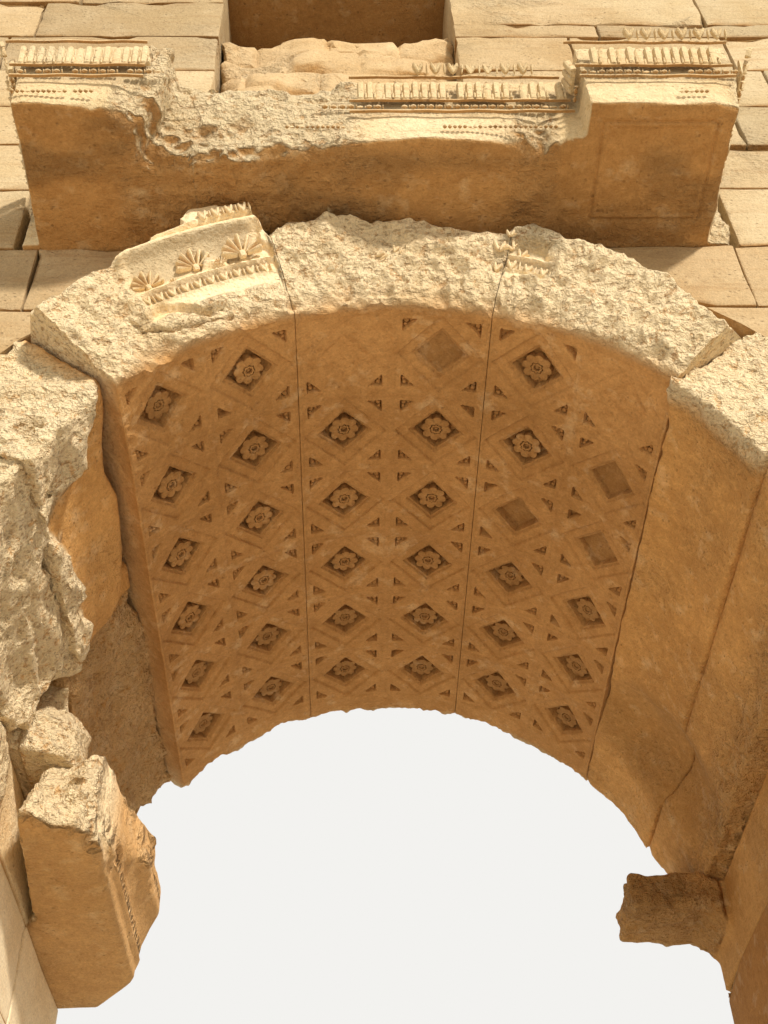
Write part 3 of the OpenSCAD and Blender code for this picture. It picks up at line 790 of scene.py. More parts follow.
def soffit_skin(angle, y):
    """How far the plain underside itself stands back from the true round."""
    place = spots(arc(angle), y, 1.0)
    eaten = ease(-y, 1.3, 1.75) * (0.010 + 0.02 * np.clip(rough(place, 0.3, 3, 14), 0, 1))
    return rough(place, 0.75, 3, 11) * 0.007 + rough(place, 0.16, 3, 12) * 0.003 + eaten


def coffer_place(angle, y):
    """Which coffer a place of the soffit lies in, and how far it is from the middle of it, in metres."""
    column = np.floor(angle / BLOCK_A) + 0.5
    row = np.clip(np.floor((y - FRONT - FIRST_ROW) / ROW_PITCH), 0, 5).astype(int)
    return column, row, arc(angle - column * BLOCK_A), y - (FRONT + ROW_PITCH * (row + 0.5) + FIRST_ROW)


def soffit_depth(angle, y):
    """How deep the underside is cut at each place, in metres."""
    column, row, across, along = coffer_place(angle, y)
    worn, next_worn, field = np.zeros(len(angle)), np.zeros(len(angle)), np.full(len(angle), FIELD_DEPTH)
    for c, values in WORN.items():
        here = column == c
        worn[here] = np.array(values)[row[here]]
        padded = np.array((FRONT_WEAR[c], *values, 0.5))
        step = np.where(along[here] < 0, row[here], row[here] + 2)
        next_worn[here] = np.where(step == 0, padded[0], np.minimum(padded[step], padded[row[here] + 1]))
        for (at, k), depth in SHALLOW.items():
            if at == c:
                field[here & (row == k)] = depth
    u, v = np.abs(across), np.abs(along)
    place = spots(arc(angle), y, 1.0)
    wobble = rough(place, 0.10, 2, 3) * (0.0015 + 0.006 * worn)
    ring = u / SLANT + v + wobble
    soft = 0.003 + 0.016 * worn

    def cut(reach, depth, edge):
        return ease(reach - ring, -edge, edge) * depth

    keep = 1 - ease(worn, 0.5, 1.0) * 0.8
    steps = cut(0.249, STEP_DEPTH, soft) + cut(0.164, STEP_DEPTH, soft)
    depth = steps * keep + cut(0.137, 1.0, 0.004 + 0.008 * worn) * field
    depth = depth + ease(np.minimum(PANEL_U - u, PANEL_V - v), 0.0, 0.006) * 0.004
    corner_u, corner_v = TRIANGLE_U - u, TRIANGLE_V - v
    triangle = np.minimum(np.minimum(corner_u, corner_v), (0.076 - corner_u - corner_v) * 0.707)
    triangle = triangle + rough(place, 0.05, 2, 8) * 0.003 * next_worn
    depth = depth + ease(triangle, -0.003, 0.005) * TRIANGLE_DEPTH * (1 - ease(next_worn, 0.5, 0.95))
    depth = depth * (1 - ease(y, 1.60, 1.63))
    scars = ease(rough(place, (0.16, 0.5, 1), 3, 33), 0.50, 0.62) * 0.006 * (0.3 + worn)
    pitted = ease(rough(place, 0.028, 1, 16), 0.62, 0.9) * 0.004 * (0.4 + worn)
    return soffit_skin(angle, y) + depth + scars + rough(place, 0.035, 2, 15) * 0.0014 + pitted


# Height of the archivolt's worn top over the intrados, at angles from the crown
TOP_TURN = [-50.1, -44.3, -34, -29, -26.6, -25.4, -22, -19.2, -18.3, -16.9, -16.5, -13.9, -10, -6.6,
            3.9, 8, 11.9, 16.1, 16.9, 19, 22.6, 25.5, 30.7, 35, 39.4, 43.7, 47, 50.1]
TOP_HEIGHT = [0.60, 0.63, 0.655, 0.68, 0.70, 0.755, 0.745, 0.72, 0.66, 0.55, 0.56, 0.61, 0.60, 0.615,
              0.605, 0.585, 0.55, 0.535, 0.57, 0.60, 0.575, 0.555, 0.58, 0.55, 0.53, 0.47, 0.44, 0.43]
# Depth of its mouldings, and of the slope where they have broken away, at heights over the intrados
FACE_Q = [0, 0.175, 0.182, 0.258, 0.262, 0.270, 0.276, 0.328, 0.333, 0.345,
          0.350, 0.40, 0.47, 0.530, 0.545, 0.552, 0.575, 0.60, 0.612, 0.80]
FACE_Y = [-1.80, -1.825, -1.852, -1.872, -1.888, -1.888, -1.876, -1.890, -1.925, -1.925,
          -1.898, -1.902, -1.925, -1.975, -2.030, -2.045, -2.045, -2.02, -2.06, -2.06]
SLOPE_Q = [0, 0.10, 0.30, 0.5, 0.62, 0.8]
SLOPE_Y = [-1.765, -1.83, -1.90, -1.985, -2.03, -2.03]


def archivolt_top(angle):
    """The worn top edge of the archivolt, as a height over the intrados."""
    return np.interp(angle, TOP_TURN, TOP_HEIGHT) + rough(spots(angle * 0.037, 7, 0), 0.10, 3, 17) * 0.012


def carved_share(angle, q):
    """Where the carving of the archivolt is still there."""
    left = ease(angle, -38.5, -36.5) * ease(-angle, 16.8, 17.4) * ease(q, 0.17, 0.21)
    band = ease(angle, 16.8, 17.0) * ease(-angle, -24.5, -22.5) * ease(q, 0.21, 0.25) * ease(-q, -0.47, -0.40)
    return np.maximum(left, band)


def face_y(angle, q):
    """Depth of the front face of the archivolt at a height q over the intrados: negative is forward."""
    place = spots(angle * math.pi / 180 * 2.1, q + 4, 2.0)
    moulded = np.interp(q, FACE_Q, FACE_Y)
    broken = np.interp(q, SLOPE_Q, SLOPE_Y) + fracture(place, 21, 0.36) * 1.25 + 0.01
    broken = broken + rough(place, 0.75, 2, 23) * 0.030
    share = carved_share(angle, q)
    lost = ease(rough(place, 0.13, 3, 27), 0.35, 0.55) * 0.8
    share = share * (1 - lost * ease(q, 0.34, 0.38))
    round_top = ease(q - archivolt_top(angle), -0.11, 0.0) ** 2 * np.where((angle > -27) & (angle < -18), 0.02, 0.10)
    scar = np.interp(angle, [-44, -36, -33, -30, -26], [0.19, 0.265, 0.235, 0.165, 0.135])
    chip = ease(scar - q, 0.0, 0.012) * ease(q - scar + 0.10, 0, 0.08)
    chip = chip * ease(angle, -42, -39) * ease(-angle, 26, 28) * 0.045
    crack = q - np.interp(angle, [-41, -39, -37, -33, -27], [0.26, 0.17, 0.09, 0.085, 0.07])
    crack = np.exp(-(crack / 0.007) ** 2) * ease(angle, -42, -40) * ease(-angle, 26, 28) * 0.05
    return moulded * share + broken * (1 - share) + round_top + chip + crack + rough(place, 0.03, 2, 25) * 0.0015


def coffered_stone(start, end):
    """The skin of one stone: a sheet down the front, along the soffit and up the rear, closed over the top."""
    a0, a1 = start + math.degrees(JOINT / R_IN), end - math.degrees(JOINT / R_IN)
    columns = int(math.radians(a1 - a0) * R_IN / SHEET_CELL)
    edge = np.array([0, 0.12, 0.3, 0.55]) * 1.2
    angle = np.concatenate([a0 + edge * 0.5, np.linspace(a0 + 0.5, a1 - 0.5, columns), (a1 - edge * 0.5)[::-1]])
    arris = np.exp(-(arc(np.minimum(angle - a0, a1 - angle)) / 0.005) ** 2) * 0.0035
    along = spots(angle * 0.031, 1, 0)
    rim = 0.010 + 0.050 * np.clip(rough(along, 0.16, 3, 41) + 0.15, 0, 1) + 0.012 * np.abs(rough(along, 0.04, 2, 43))

    def rounded(reach):
        """How far the rubbed rim stands back at a distance from its edge."""
        return np.where(reach < rim, rim - np.sqrt(np.maximum(rim ** 2 - (rim - reach) ** 2, 0)), 0)

    def rim_place():
        lift = rim * 0.293
        y = face_y(angle, lift) + rim * 0.293
        return y, soffit_depth(angle, y) * 0.3 + lift

    front_y, front_q = rim_place()
    count = int(0.62 / SHEET_CELL / 1.05)
    top = archivolt_top(angle)

    def face_rows(rear):
        made = []
        for t in np.linspace(1, 0, count if not rear else count // 2, endpoint=False):
            q = front_q + (top - front_q) * t
            y = face_y(angle, q) + rounded(q)
            made.append((q, -y if rear else y))
        return made

    rows = face_rows(False)
    rows.append((front_q, front_y))
    for t in np.linspace(0, 1, int(3.5 / SHEET_CELL))[1:-1]:
        y = front_y + (-front_y - front_y) * t
        corner = rounded(np.maximum(np.minimum(y - front_y, -front_y - y), 0.0)) * 0.7
        rows.append((soffit_depth(angle, y) + arris + np.minimum(corner, front_q), y))
    rows.append((front_q, -front_y))
    rows += [(q, y) for q, y in reversed(face_rows(True))]
    first_q, first_y = rows[0]
    for t in (0.06, 0.2, 0.5, 0.8, 0.94):
        y = -first_y + (first_y + first_y) * t
        rows.append((np.where(np.abs(y) < 1.8, 0.655, first_q + 0.01), y))
    q, y = np.array([r[0] for r in rows]), np.array([r[1] for r in rows])
    a = np.radians(np.broadcast_to(angle, q.shape))
    verts = np.stack([(R_IN + q) * np.sin(a), y, AXIS + (R_IN + q) * np.cos(a)], -1).reshape(-1, 3)
    m, k = q.shape
    index = np.arange(m * k).reshape(m, k)
    nextrow = np.roll(index, -1, 0)
    quads = np.stack([index[:, :-1], nextrow[:, :-1], nextrow[:, 1:], index[:, 1:]], -1).reshape(-1, 4)
    caps = [index[:, 0][None, ::-1], index[:, -1][None, :]]
    mesh = mesh_of("coffered", verts, [quads] + caps)
    shape = bmesh.new()
    shape.from_mesh(mesh)
    bmesh.ops.triangulate(shape, faces=[f for f in shape.faces if len(f.verts) > 4])
    bmesh.ops.recalc_face_normals(shape, faces=shape.faces)
    shape.to_mesh(mesh)
    shape.free()
    return mesh


def vault_marks(p, normal):
    """Patina inside the vault, with painted shade laid into the same brown; painted shade also darkens the cut places,
    thin lines at the edges of the coffer steps and panels, and the carving ground behind the archivolt's ornament;
    lighter towards the front, partly wear and partly painted light; cream where the ends have broken in the open.
    """
    angle, radius = polar(p)
    inside = ease(p[:, 1], -1.84, -1.72) * ease(-p[:, 1], -1.84, -1.72) * ease(2.05 - radius, 0, 0.1)
    cut = ease(radius - R_IN - soffit_skin(angle, p[:, 1]), 0.022, 0.050) * inside
    front_wear_and_light = ease(-p[:, 1], 1.1, 1.7) * inside
    away = 1 - carved_share(angle, radius - R_IN)
    u, v = np.abs(coffer_place(angle, p[:, 1])[2:])
    lines = sum(np.exp(-((u / SLANT + v - reach) / 0.007) ** 2) for reach in (0.162, 0.246))
    lines = lines + 0.6 * np.exp(-(np.minimum(PANEL_U - u, PANEL_V - v) / 0.006) ** 2)
    q = radius - R_IN
    ground = np.maximum(ease(0.10 - np.abs(q - 0.47), 0, 0.03), ease(0.035 - np.abs(q - 0.30), 0, 0.01))
    carved = np.maximum(ease(9.5 - np.abs(angle + 28), 0, 1.5), ease(5 - np.abs(angle - 19.5), 0, 1.5))
    ground = ground * carved * (1 - inside)
    lines = 0.8 * lines * inside * (1 - cut) * ease(1.6 - p[:, 1], 0, 0.03)
    return {"sheltered_and_shaded": np.clip(inside, 0, 1), "broken": (1 - inside) * (0.10 + 0.90 * away),
            "tone": 0.5 - 1.8 * cut - 2.6 * ground + 0.6 * front_wear_and_light - lines}


# Patinated limestone: chisel-finished, honey brown where the vault keeps the rain off, a brown that also paints the
# shade inside the vault; sunlit ends pale
patinated = limestone("patinated_carved_limestone", "#F4DDB2", "#C3935A", "#F6DEB2", streak=0.25, pits=0.4, coarse=1.0)
for name, start, end, node in (("left_coffered_stone", -3 * BLOCK_A, -BLOCK_A, "left_coffered_block"),
                               ("keystone", -BLOCK_A, BLOCK_A, "keystone_block"),
                               ("right_coffered_stone", BLOCK_A, 3 * BLOCK_A, "right_coffered_block")):
    lay(name, coffered_stone(start, end), patinated, [node], vault_marks, limit=97000, sharp=50)


# ---------------------------------------------------------------- rosettes and trefoils
# In the floor of each coffer lies a rosette, and in each corner triangle a trefoil, cut from the same
# stone. They are set out on the soffit by one rule; the worn ones are flatter or gone.

def built(name, start, sizes, shape):
    """Builds a mesh with Geometry Nodes on a start mesh. Sizes are the named inputs, with kind and value,
    and shape adds the nodes in between. The result is a plain mesh, and the modifier is taken off."""
    host = put(name + "_start", start)
    tree = bpy.data.node_groups.new(name, "GeometryNodeTree")
    sockets = {label: tree.interface.new_socket(label, in_out="INPUT", socket_type="NodeSocket" + kind).identifier
               for label, (kind, value) in (("Start", ("Geometry", None)), *sizes.items())}
    tree.interface.new_socket("Finished", in_out="OUTPUT", socket_type="NodeSocketGeometry")
    given = add(tree, "NodeGroupInput").outputs
    solid = add(tree, "GeometryNodeRealizeInstances", {0: shape(tree, given)})
    finished = add(tree, "GeometryNodeSetMaterial", {"Geometry": solid.outputs[0], "Material": given["Stone"]})
    add(tree, "NodeGroupOutput", {0: finished.outputs[0]})
    rule = host.modifiers.new(name, "NODES")
    rule.node_group = tree
    for label, (kind, value) in sizes.items():
        rule[sockets[label]] = value
    return settled(host)


def set_out(name, unit, stations, material, marks):
    """Sets a copy of a carved unit on each station, which is a place, a turn and a size, as one piece."""
    places, turns, sizes = zip(*stations)
    points = bpy.data.meshes.new(name + "_places")
    points.from_pydata(places, [], [])
    for mark, values in (("turn", turns), ("size", sizes)):
        layer = points.attributes.new(mark, "FLOAT_VECTOR", "POINT")
        layer.data.foreach_set("vector", np.asarray(values, np.float32).ravel())
    carving = put(name + "_unit", mesh_of(name, *unit))

    def copies(tree, given):
        turn, size = (add(tree, "GeometryNodeInputNamedAttribute", {"Name": mark}, data_type="FLOAT_VECTOR").outputs[0]
                      for mark in ("turn", "size"))
        scale = add(tree, "ShaderNodeVectorMath", {0: size, "Scale": given["Overall size"]},
                    operation="SCALE").outputs[0]
        spin = add(tree, "FunctionNodeEulerToRotation", {0: turn}).outputs[0]
        copied = add(tree, "GeometryNodeObjectInfo", {"Object": given["Carved unit"]}).outputs["Geometry"]
        return add(tree, "GeometryNodeInstanceOnPoints", {"Points": given["Start"], "Instance": copied,
                                                          "Rotation": spin, "Scale": scale}).outputs[0]

    ready = built(name, points, {"Carved unit": ("Object", carving), "Overall size": ("Float", 1.0),
                                 "Stone": ("Material", material)}, copies)
    bpy.data.objects.remove(carving)
    for extra in ("turn", "size"):
        if extra in ready.attributes:
            ready.attributes.remove(ready.attributes[extra])
    return lay(name, ready, material, [], marks)


def disc_relief(radius, height, rings, spokes):
    """A closed round relief: radius and height are functions of the turn and of the share of the way out."""
    turn = np.linspace(0, 2 * math.pi, spokes, endpoint=False)
    verts, quads = [[0, 0, float(height(np.zeros(1), 0.0)[0])]], []
    for share in rings:
        r, h = radius(turn) * share, height(turn, share)
        verts += np.stack([r * np.cos(turn), r * np.sin(turn), h], -1).tolist()
    verts += np.stack([radius(turn) * np.cos(turn), radius(turn) * np.sin(turn), np.full(spokes, -0.006)], -1).tolist()
    verts.append([0, 0, -0.006])
    near, far = np.arange(spokes), (np.arange(spokes) + 1) % spokes
    first = np.stack([np.zeros(spokes, int), 1 + near, 1 + far], -1)
    for k in range(len(rings)):
        a, b = 1 + k * spokes, 1 + (k + 1) * spokes
        quads.append(np.stack([a + near, b + near, b + far, a + far], -1))
    last = 1 + len(rings) * spokes
    bottom = np.stack([np.full(spokes, last + spokes), last + far, last + near], -1)
    return np.array(verts), [first, np.concatenate(quads), bottom]


def rosette_radius(turn):
    return 0.090 * (1 - 0.20 * (1 - np.abs(np.cos(4 * turn + 0.35))) ** 1.2 - 0.05 * (0.5 + 0.5 * np.cos(4 * turn)))


def rosette_height(turn, share):
    """A round button in a ring, and eight flat lobes round it."""
    if share < 0.18:
        return 0.036 * math.sqrt(1 - (share / 0.18) ** 2 * 0.5) + 0 * turn
    if share < 0.24 or 0.36 < share < 0.44:
        return 0.022 + 0 * turn
    if share < 0.36:
        return 0.040 + 0 * turn
    groove = np.clip(1 - np.abs(np.cos(4 * turn + 0.35)) * 3.0, 0, 1)
    return 0.039 - 0.004 * share ** 3 - 0.007 * groove * max(0, share - 0.6) * 2.5


def trefoil():
    """Three small round lobes, each with a dimple."""
    def lobe_height(turn, share):
        return 0.028 * (1 - 0.35 * share * share) + 0 * turn - (0.008 if share < 0.2 else 0)

    parts = []
    for x, y, r in ((0.020, 0.020, 0.0135), (0.047, 0.0145, 0.0105), (0.0145, 0.047, 0.0105)):
        points, faces = disc_relief(lambda turn: r + 0 * turn, lobe_height, (0.25, 0.75, 1.0), 8)
        parts.append((points + np.array([x, y, 0]), faces))
    return gathered(parts)


def on_soffit(angle, y, depth):
    """A place on the underside of the vault, so far up into the stone from its worn skin."""
    a = math.radians(angle)
    r = R_IN + depth + float(soffit_skin(np.array([angle]), np.array([y]))[0])
    return (r * math.sin(a), y, AXIS + r * math.cos(a))


random = np.random.default_rng(23)
QUARTER = {(1, -1): 0, (-1, -1): 1, (-1, 1): 2, (1, 1): 3}
roses, foils = [], []
for column, worn in WORN.items():
    for row in range(6):
        angle, y = column * BLOCK_A, FRONT + ROW_PITCH * (row + 0.5) + FIRST_ROW
        left = ROSETTE[column][row]
        if left > 0:
            width = 0.92 + 0.08 * left
            roses.append((on_soffit(angle, y, 0.022 + FIELD_DEPTH + 0.002), (0, math.radians(angle) + math.pi, 0),
                          (width, width, 0.30 + 0.75 * left)))
        for su in (-1, 1):
            for sv in (-1, 1):
                if row == 0 and sv < 0:
                    beside = FRONT_WEAR[column]
                else:
                    beside = min(worn[row], worn[min(row + sv, 5)])
                if beside > 0.7 or random.random() < beside * 0.4:
                    continue
                u, v = su * TRIANGLE_U / R_IN, sv * TRIANGLE_V
                quarter = QUARTER[(su, sv)] * math.pi / 2
                face = Matrix.Rotation(math.radians(angle) + u + math.pi, 3, "Y") @ Matrix.Rotation(quarter, 3, "Z")
                foils.append((on_soffit(angle + math.degrees(u), y + v, TRIANGLE_DEPTH + 0.001), tuple(face.to_euler()),
                              (1.0, 1.0, 1.15 - 0.6 * beside)))

ROSETTE_RINGS = (0.17, 0.19, 0.235, 0.25, 0.35, 0.37, 0.43, 0.45, 0.7, 0.93, 1.0)
rose = disc_relief(rosette_radius, rosette_height, ROSETTE_RINGS, 40)
set_out("coffer_rosettes", rose, roses, patinated, vault_marks)
set_out("corner_trefoils", trefoil(), foils, patinated, vault_marks)


# ---------------------------------------------------------------- spandrels
# Coursed masonry of the same limestone beside the ring, in two lifts on each side, laid dry and level.
# The blocks against the ring are cut to its curve.

# Weathered face stone: palest of all, beds picked out by rain, dusted with fine pits; its brown under the shelf and
# round the archway is patina and painted shade
weathered = limestone("rain_weathered_limestone", "#E2CCA2", "#B88A52", "#E9D2A8", streak=0.7, pits=0.6, coarse=1.1)


def shaded_marks(p, normal):
    """Stone that stands in the shelter of the shelf or of a niche: half brown and a little darker, both painted shade
    for the shade it stands in, over a random tone.
    """
    found = open_marks(p, normal)
    near = ease(2.9 - np.abs(p[:, 0]), 0, 0.5)
    return {"sheltered_and_shaded": np.maximum(found["sheltered_and_shaded"], 0.40 * near), "broken": found["broken"],
            "tone": 0.6 * rough(p, 0.7, 2, 61) - 1.1 * near}


def wall_marks(p, normal):
    """The wall faces have kept a little of their brown skin, in clouds, more on the front face; towards the right end
    there is less of it, painted lighter for the light on that side.
    """
    found = open_marks(p, normal)
    kept = (0.30 - 0.20 * ease(p[:, 0], 1.4, 2.2)) * ease(-p[:, 1], -0.5, 0.5) + 0.25 * rough(p, 0.9, 3, 62)
    return {"sheltered_and_shaded": np.maximum(found["sheltered_and_shaded"], kept), "broken": found["broken"]}


SPANDREL_R = 2.46


def spandrel_blocks(node):
    """Block boxes of one lift: two courses, the inner ends of which reach into the ring's room."""
    low, high = corners(node)
    side = -1 if low[0] < -1 else 1
    boxes = []
    for k, (l, h) in enumerate(split(low, high, 2, (0.5,))):
        inner = max(math.sqrt(max(SPANDREL_R ** 2 - (h[2] - AXIS) ** 2, 0)), 0.70)
        outer = math.sqrt(SPANDREL_R ** 2 - (l[2] - AXIS) ** 2)
        cuts = [3.5]
        if outer < 2.5:
            cuts.append(outer + 0.3)
        if outer - inner > 1.0:
            cuts.append(inner + 0.85)
        cuts.append(inner)
        seams = (-1.75, -0.65 + 0.25 * k, 0.55 - 0.3 * k, 1.75)
        for y0, y1 in pairwise(seams):
            for a, b in pairwise(cuts):
                x0, x1 = sorted((side * a, side * b))
                boxes.append(((x0, y0, l[2]), (x1, y1, h[2])))
    return boxes


for side in ("left", "right"):
    for lift in ("lower", "upper"):
        node = f"{side}_spandrel_{lift}"
        parts = []
        for k, (low, high) in enumerate(spandrel_blocks(node)):
            seed = 60 + k * 2.3 + len(node) + (lift == "upper") * 31
            p, quads = squared_block(low, high, 0.15, 0.010, seed, wear=1.5, joint=0.0025)
            out = np.maximum((SPANDREL_R + 0.008) / np.hypot(p[:, 0], p[:, 2] - AXIS), 1)
            parts.append((np.stack([p[:, 0] * out, p[:, 1], AXIS + (p[:, 2] - AXIS) * out], -1), quads))
        lay(node + "_masonry", mesh_of(node, *gathered(parts)), weathered, [node], shaded_marks,
            limit=12000)


# ---------------------------------------------------------------- shelf over the archway
# A deep moulded limestone shelf with two projecting ends, carved in three lengths tailed into the wall.
# Its lower edge has crumbled to one soft slope; the carved upper members survive in places.

SHELF_Z, SHELF_TOP, SHELF_RISE = 7.80, 8.43, 0.63
END_FRONT, MIDDLE_FRONT = FRONT - 1.0, FRONT - 0.80
LEFT_OUT, LEFT_IN, RIGHT_IN, RIGHT_OUT = -2.10, -1.06, 0.96, 2.0
SHELF_CELL = 0.0115
# How far each member stands back behind the lip, at heights over the underside
SET_Z = [0.0, 0.055, 0.062, 0.088, 0.095, 0.228, 0.238, 0.328, 0.336, 0.345, 0.50, 0.512, 0.53, 0.59, 0.63]
SET_BACK = [0.13, 0.13, 0.118, 0.118, 0.107, 0.104, 0.108, 0.108, 0.094, 0.100, 0.080, 0.048, 0.030, 0.0, 0.0]


def plan_reach(x, y):
    """How far a place lies inside the plan of the lip, positive inside."""
    y_end, y_middle = y - END_FRONT, y - MIDDLE_FRONT
    left = np.minimum(np.minimum(x - LEFT_OUT, LEFT_IN - x), y_end)
    right = np.minimum(np.minimum(x - RIGHT_IN + 0.06, RIGHT_OUT - x), y_end)
    middle = np.minimum(y_middle, np.minimum(x - LEFT_OUT - 0.2, RIGHT_OUT - 0.2 - x))
    return np.maximum(np.maximum(left, right), middle)


def shelf_loss(x):
    """How far the lower edge has worn back at the underside, along the shelf."""
    return np.interp(x, [-2.1, -1.9, -1.7, -1.5, -1.43, -1.34, -1.26, -0.99, -0.80, -0.54, -0.22,
                         0.15, 0.41, 0.60, 0.68, 0.74, 0.80, 0.87, 0.94, 1.0, 1.7, 1.87],
                     [0.02, 0.0, 0.015, 0.03, 0.07, 0.13, 0.17, 0.12, 0.115, 0.08, 0.035,
                      0.0, 0.01, 0.03, 0.05, 0.10, 0.13, 0.07, 0.01, 0.0, 0.01, 0.06])


def upper_loss(x):
    """Size of the slope that has broken off the carved upper members."""
    return np.interp(x, [-2.1, -2.0, -1.35, -1.25, -1.0, -0.6, -0.3, 0.0, 1.1, 1.3, 1.8, 1.95, 2.05],
                     [0.05, 0.0, 0.0, 0.13, 0.20, 0.16, 0.08, 0.0, 0.0, 0.0, 0.0, 0.08, 0.16])


def shelf_field(p):
    x, y, z = p.T
    reach = plan_reach(x, y)
    height = z - SHELF_Z
    set_back = np.interp(height, SET_Z, SET_BACK)
    members = (set_back - reach) * 0.9
    tail = block(p, (LEFT_OUT + 0.05, FRONT - 0.01, SHELF_Z), (RIGHT_OUT - 0.05, FRONT + 0.69, SHELF_TOP))
    loss, upper = shelf_loss(x), upper_loss(x)
    slope = (0.13 + loss * np.clip(1 - height / 0.30, 0, 1) - reach) * 0.85
    slope = both(slope, (0.012 + 0.25 * loss - np.maximum(height, 0) - np.maximum(reach - 0.13 - loss, 0)) * 0.7, 0.02)
    corner = (x + 1.265) * 0.37 - (y + 2.445) * 0.68 - height * 0.63
    corner = both(-corner, (x + 0.96) * 0.9, 0.03)
    crown = (upper - (SHELF_RISE - height) * 0.8 - reach * 0.6) * 0.75
    solid = both(both(members, slope, 0.02), -corner, 0.03)
    solid = both(both(solid, np.maximum(-height, height - SHELF_RISE), 0.012), crown, 0.04)
    solid = either(solid, tail, 0.01)
    panel = block(p, (1.15, -2.47, 7.7), (1.69, -1.95, SHELF_Z + 0.012))
    line = np.abs(block(p, (1.115, -2.505, 7.0), (1.725, -1.915, 9.0))) - 0.008
    solid = both(solid, -both(line, height - 0.014), 0.006)
    solid = both(solid, -panel, 0.01)
    crumbled = ease(0.26 - height, 0, 0.08) * ease(loss, 0.02, 0.08) + ease(0.04 - np.abs(corner), 0, 0.02)
    broken = ease(upper, 0.02, 0.08) * ease(height, 0.28, 0.42)
    eaten = 0.14 + 0.86 * np.clip(crumbled + broken, 0, 1)
    under = ease(0.02 - height, -0.01, 0.02) * ease(x, 1.0, 1.1)
    return solid + ruin_detail(p, solid, eaten * (1 - 0.6 * under), 12.0)


# Painted shade: the underside is given the brown of the patina and painted darker in blotches, for the shade under the
# shelf, and the ground behind the carved rows is painted darker for the shade there.
def shelf_marks(p, normal):
    down = ease(-normal[:, 2], 0.45, 0.70) * ease(SHELF_Z + 0.40 - p[:, 2], 0.0, 0.3)
    crumbled = ease(shelf_loss(p[:, 0]), 0.02, 0.08) * ease(SHELF_Z + 0.28 - p[:, 2], 0, 0.08)
    stain = ease(rough(p, (0.6, 0.35, 0.5), 3, 51), 0.0, 0.45) * down
    lost = ease(upper_loss(p[:, 0]), 0.02, 0.08)
    height = p[:, 2] - SHELF_Z
    ground = ease(height, 0.24, 0.25) * ease(0.505 - height, 0, 0.008)
    ground = ground * ease(np.abs(normal[:, :2]).max(-1), 0.5, 0.8) * (1 - lost)
    return {"sheltered_and_shaded": down, "tone": 0.5 - 1.9 * stain - 2.0 * ground,
            "broken": np.clip(0.15 + crumbled + lost, 0, 1) * (1 - 0.6 * down) + 0.3 * stain}


SAW_CUT = 0.0004


def cut_lengths(field, y0, y1, cell, pieces, limit):
    """Carves a whole shelf and saws it into its lengths at upright joints."""
    verts, quads = carve(field, (LEFT_OUT - 0.05, y0, SHELF_Z - 0.05), (RIGHT_OUT + 0.05, y1, SHELF_TOP + 0.05), cell)
    whole = mesh_of("shelf", verts, [quads])
    for name, x0, x1, node in pieces:
        shape = bmesh.new()
        shape.from_mesh(whole)
        for x, side in ((x0, -1), (x1, 1)):
            found = bmesh.ops.bisect_plane(shape, geom=shape.verts[:] + shape.edges[:] + shape.faces[:],
                                           plane_co=(x - side * SAW_CUT, 0, 0), plane_no=(side, 0, 0), clear_outer=True)
            rim = [e for e in found["geom_cut"] if isinstance(e, bmesh.types.BMEdge)]
            if rim:
                bmesh.ops.triangle_fill(shape, edges=rim, use_beauty=True, normal=(side, 0, 0))
        length = bpy.data.meshes.new(name)
        shape.to_mesh(length)
        shape.free()
        lay(name, length, weathered, [node], shelf_marks, limit)
    bpy.data.meshes.remove(whole)


cut_lengths(shelf_field, END_FRONT - 0.03, FRONT + 0.73, SHELF_CELL,
            (("left_shelf_end_stone", LEFT_OUT - 1, LEFT_IN, "left_shelf_end"),
             ("shelf_middle_stone", LEFT_IN, RIGHT_IN, "shelf_centre"),
             ("right_shelf_end_stone", RIGHT_IN, RIGHT_OUT + 1, "right_shelf_end")), limit=36000)


# ---------------------------------------------------------------- rear shelf
# The same shelf on the rear wall, in three lengths of the same limestone tailed into it. It is less
# weathered and keeps its members all round.

def rear_field(p):
    x, y, z = p.T
    reach = plan_reach(x, -y)
    height = z - SHELF_Z
    members = (np.interp(height, SET_Z, SET_BACK) - reach) * 0.9
    tail = block(p, (LEFT_OUT + 0.05, REAR - 0.69, SHELF_Z), (RIGHT_OUT - 0.05, REAR + 0.01, SHELF_TOP))
    solid = either(both(members, np.maximum(-height, height - SHELF_RISE), 0.03), tail, 0.01)
    for centre in ((LEFT_OUT + LEFT_IN) / 2, (RIGHT_IN + RIGHT_OUT) / 2):
        panel = block(p, (centre - 0.28, 1.86, 7.7), (centre + 0.28, 2.50, SHELF_Z + 0.03))
        solid = both(solid, -panel, 0.012)
    return solid + ruin_detail(p, solid, 0.22, 17.0)


cut_lengths(rear_field, REAR - 0.73, -END_FRONT + 0.03, SHELF_CELL * 1.4,
            (("rear_shelf_left_stone", LEFT_OUT - 1, LEFT_IN, "rear_shelf_left"),
             ("rear_shelf_middle_stone", LEFT_IN, RIGHT_IN, "rear_shelf_centre"),
             ("rear_shelf_right_stone", RIGHT_IN, RIGHT_OUT + 1, "rear_shelf_right")), limit=11000)


# ---------------------------------------------------------------- wall over the archway
# Four courses of large limestone blocks laid dry, right through the wall at the sides and meeting
# behind the niches. Rain has rounded the arrises and picked the beds out in fine horizontal ribs.

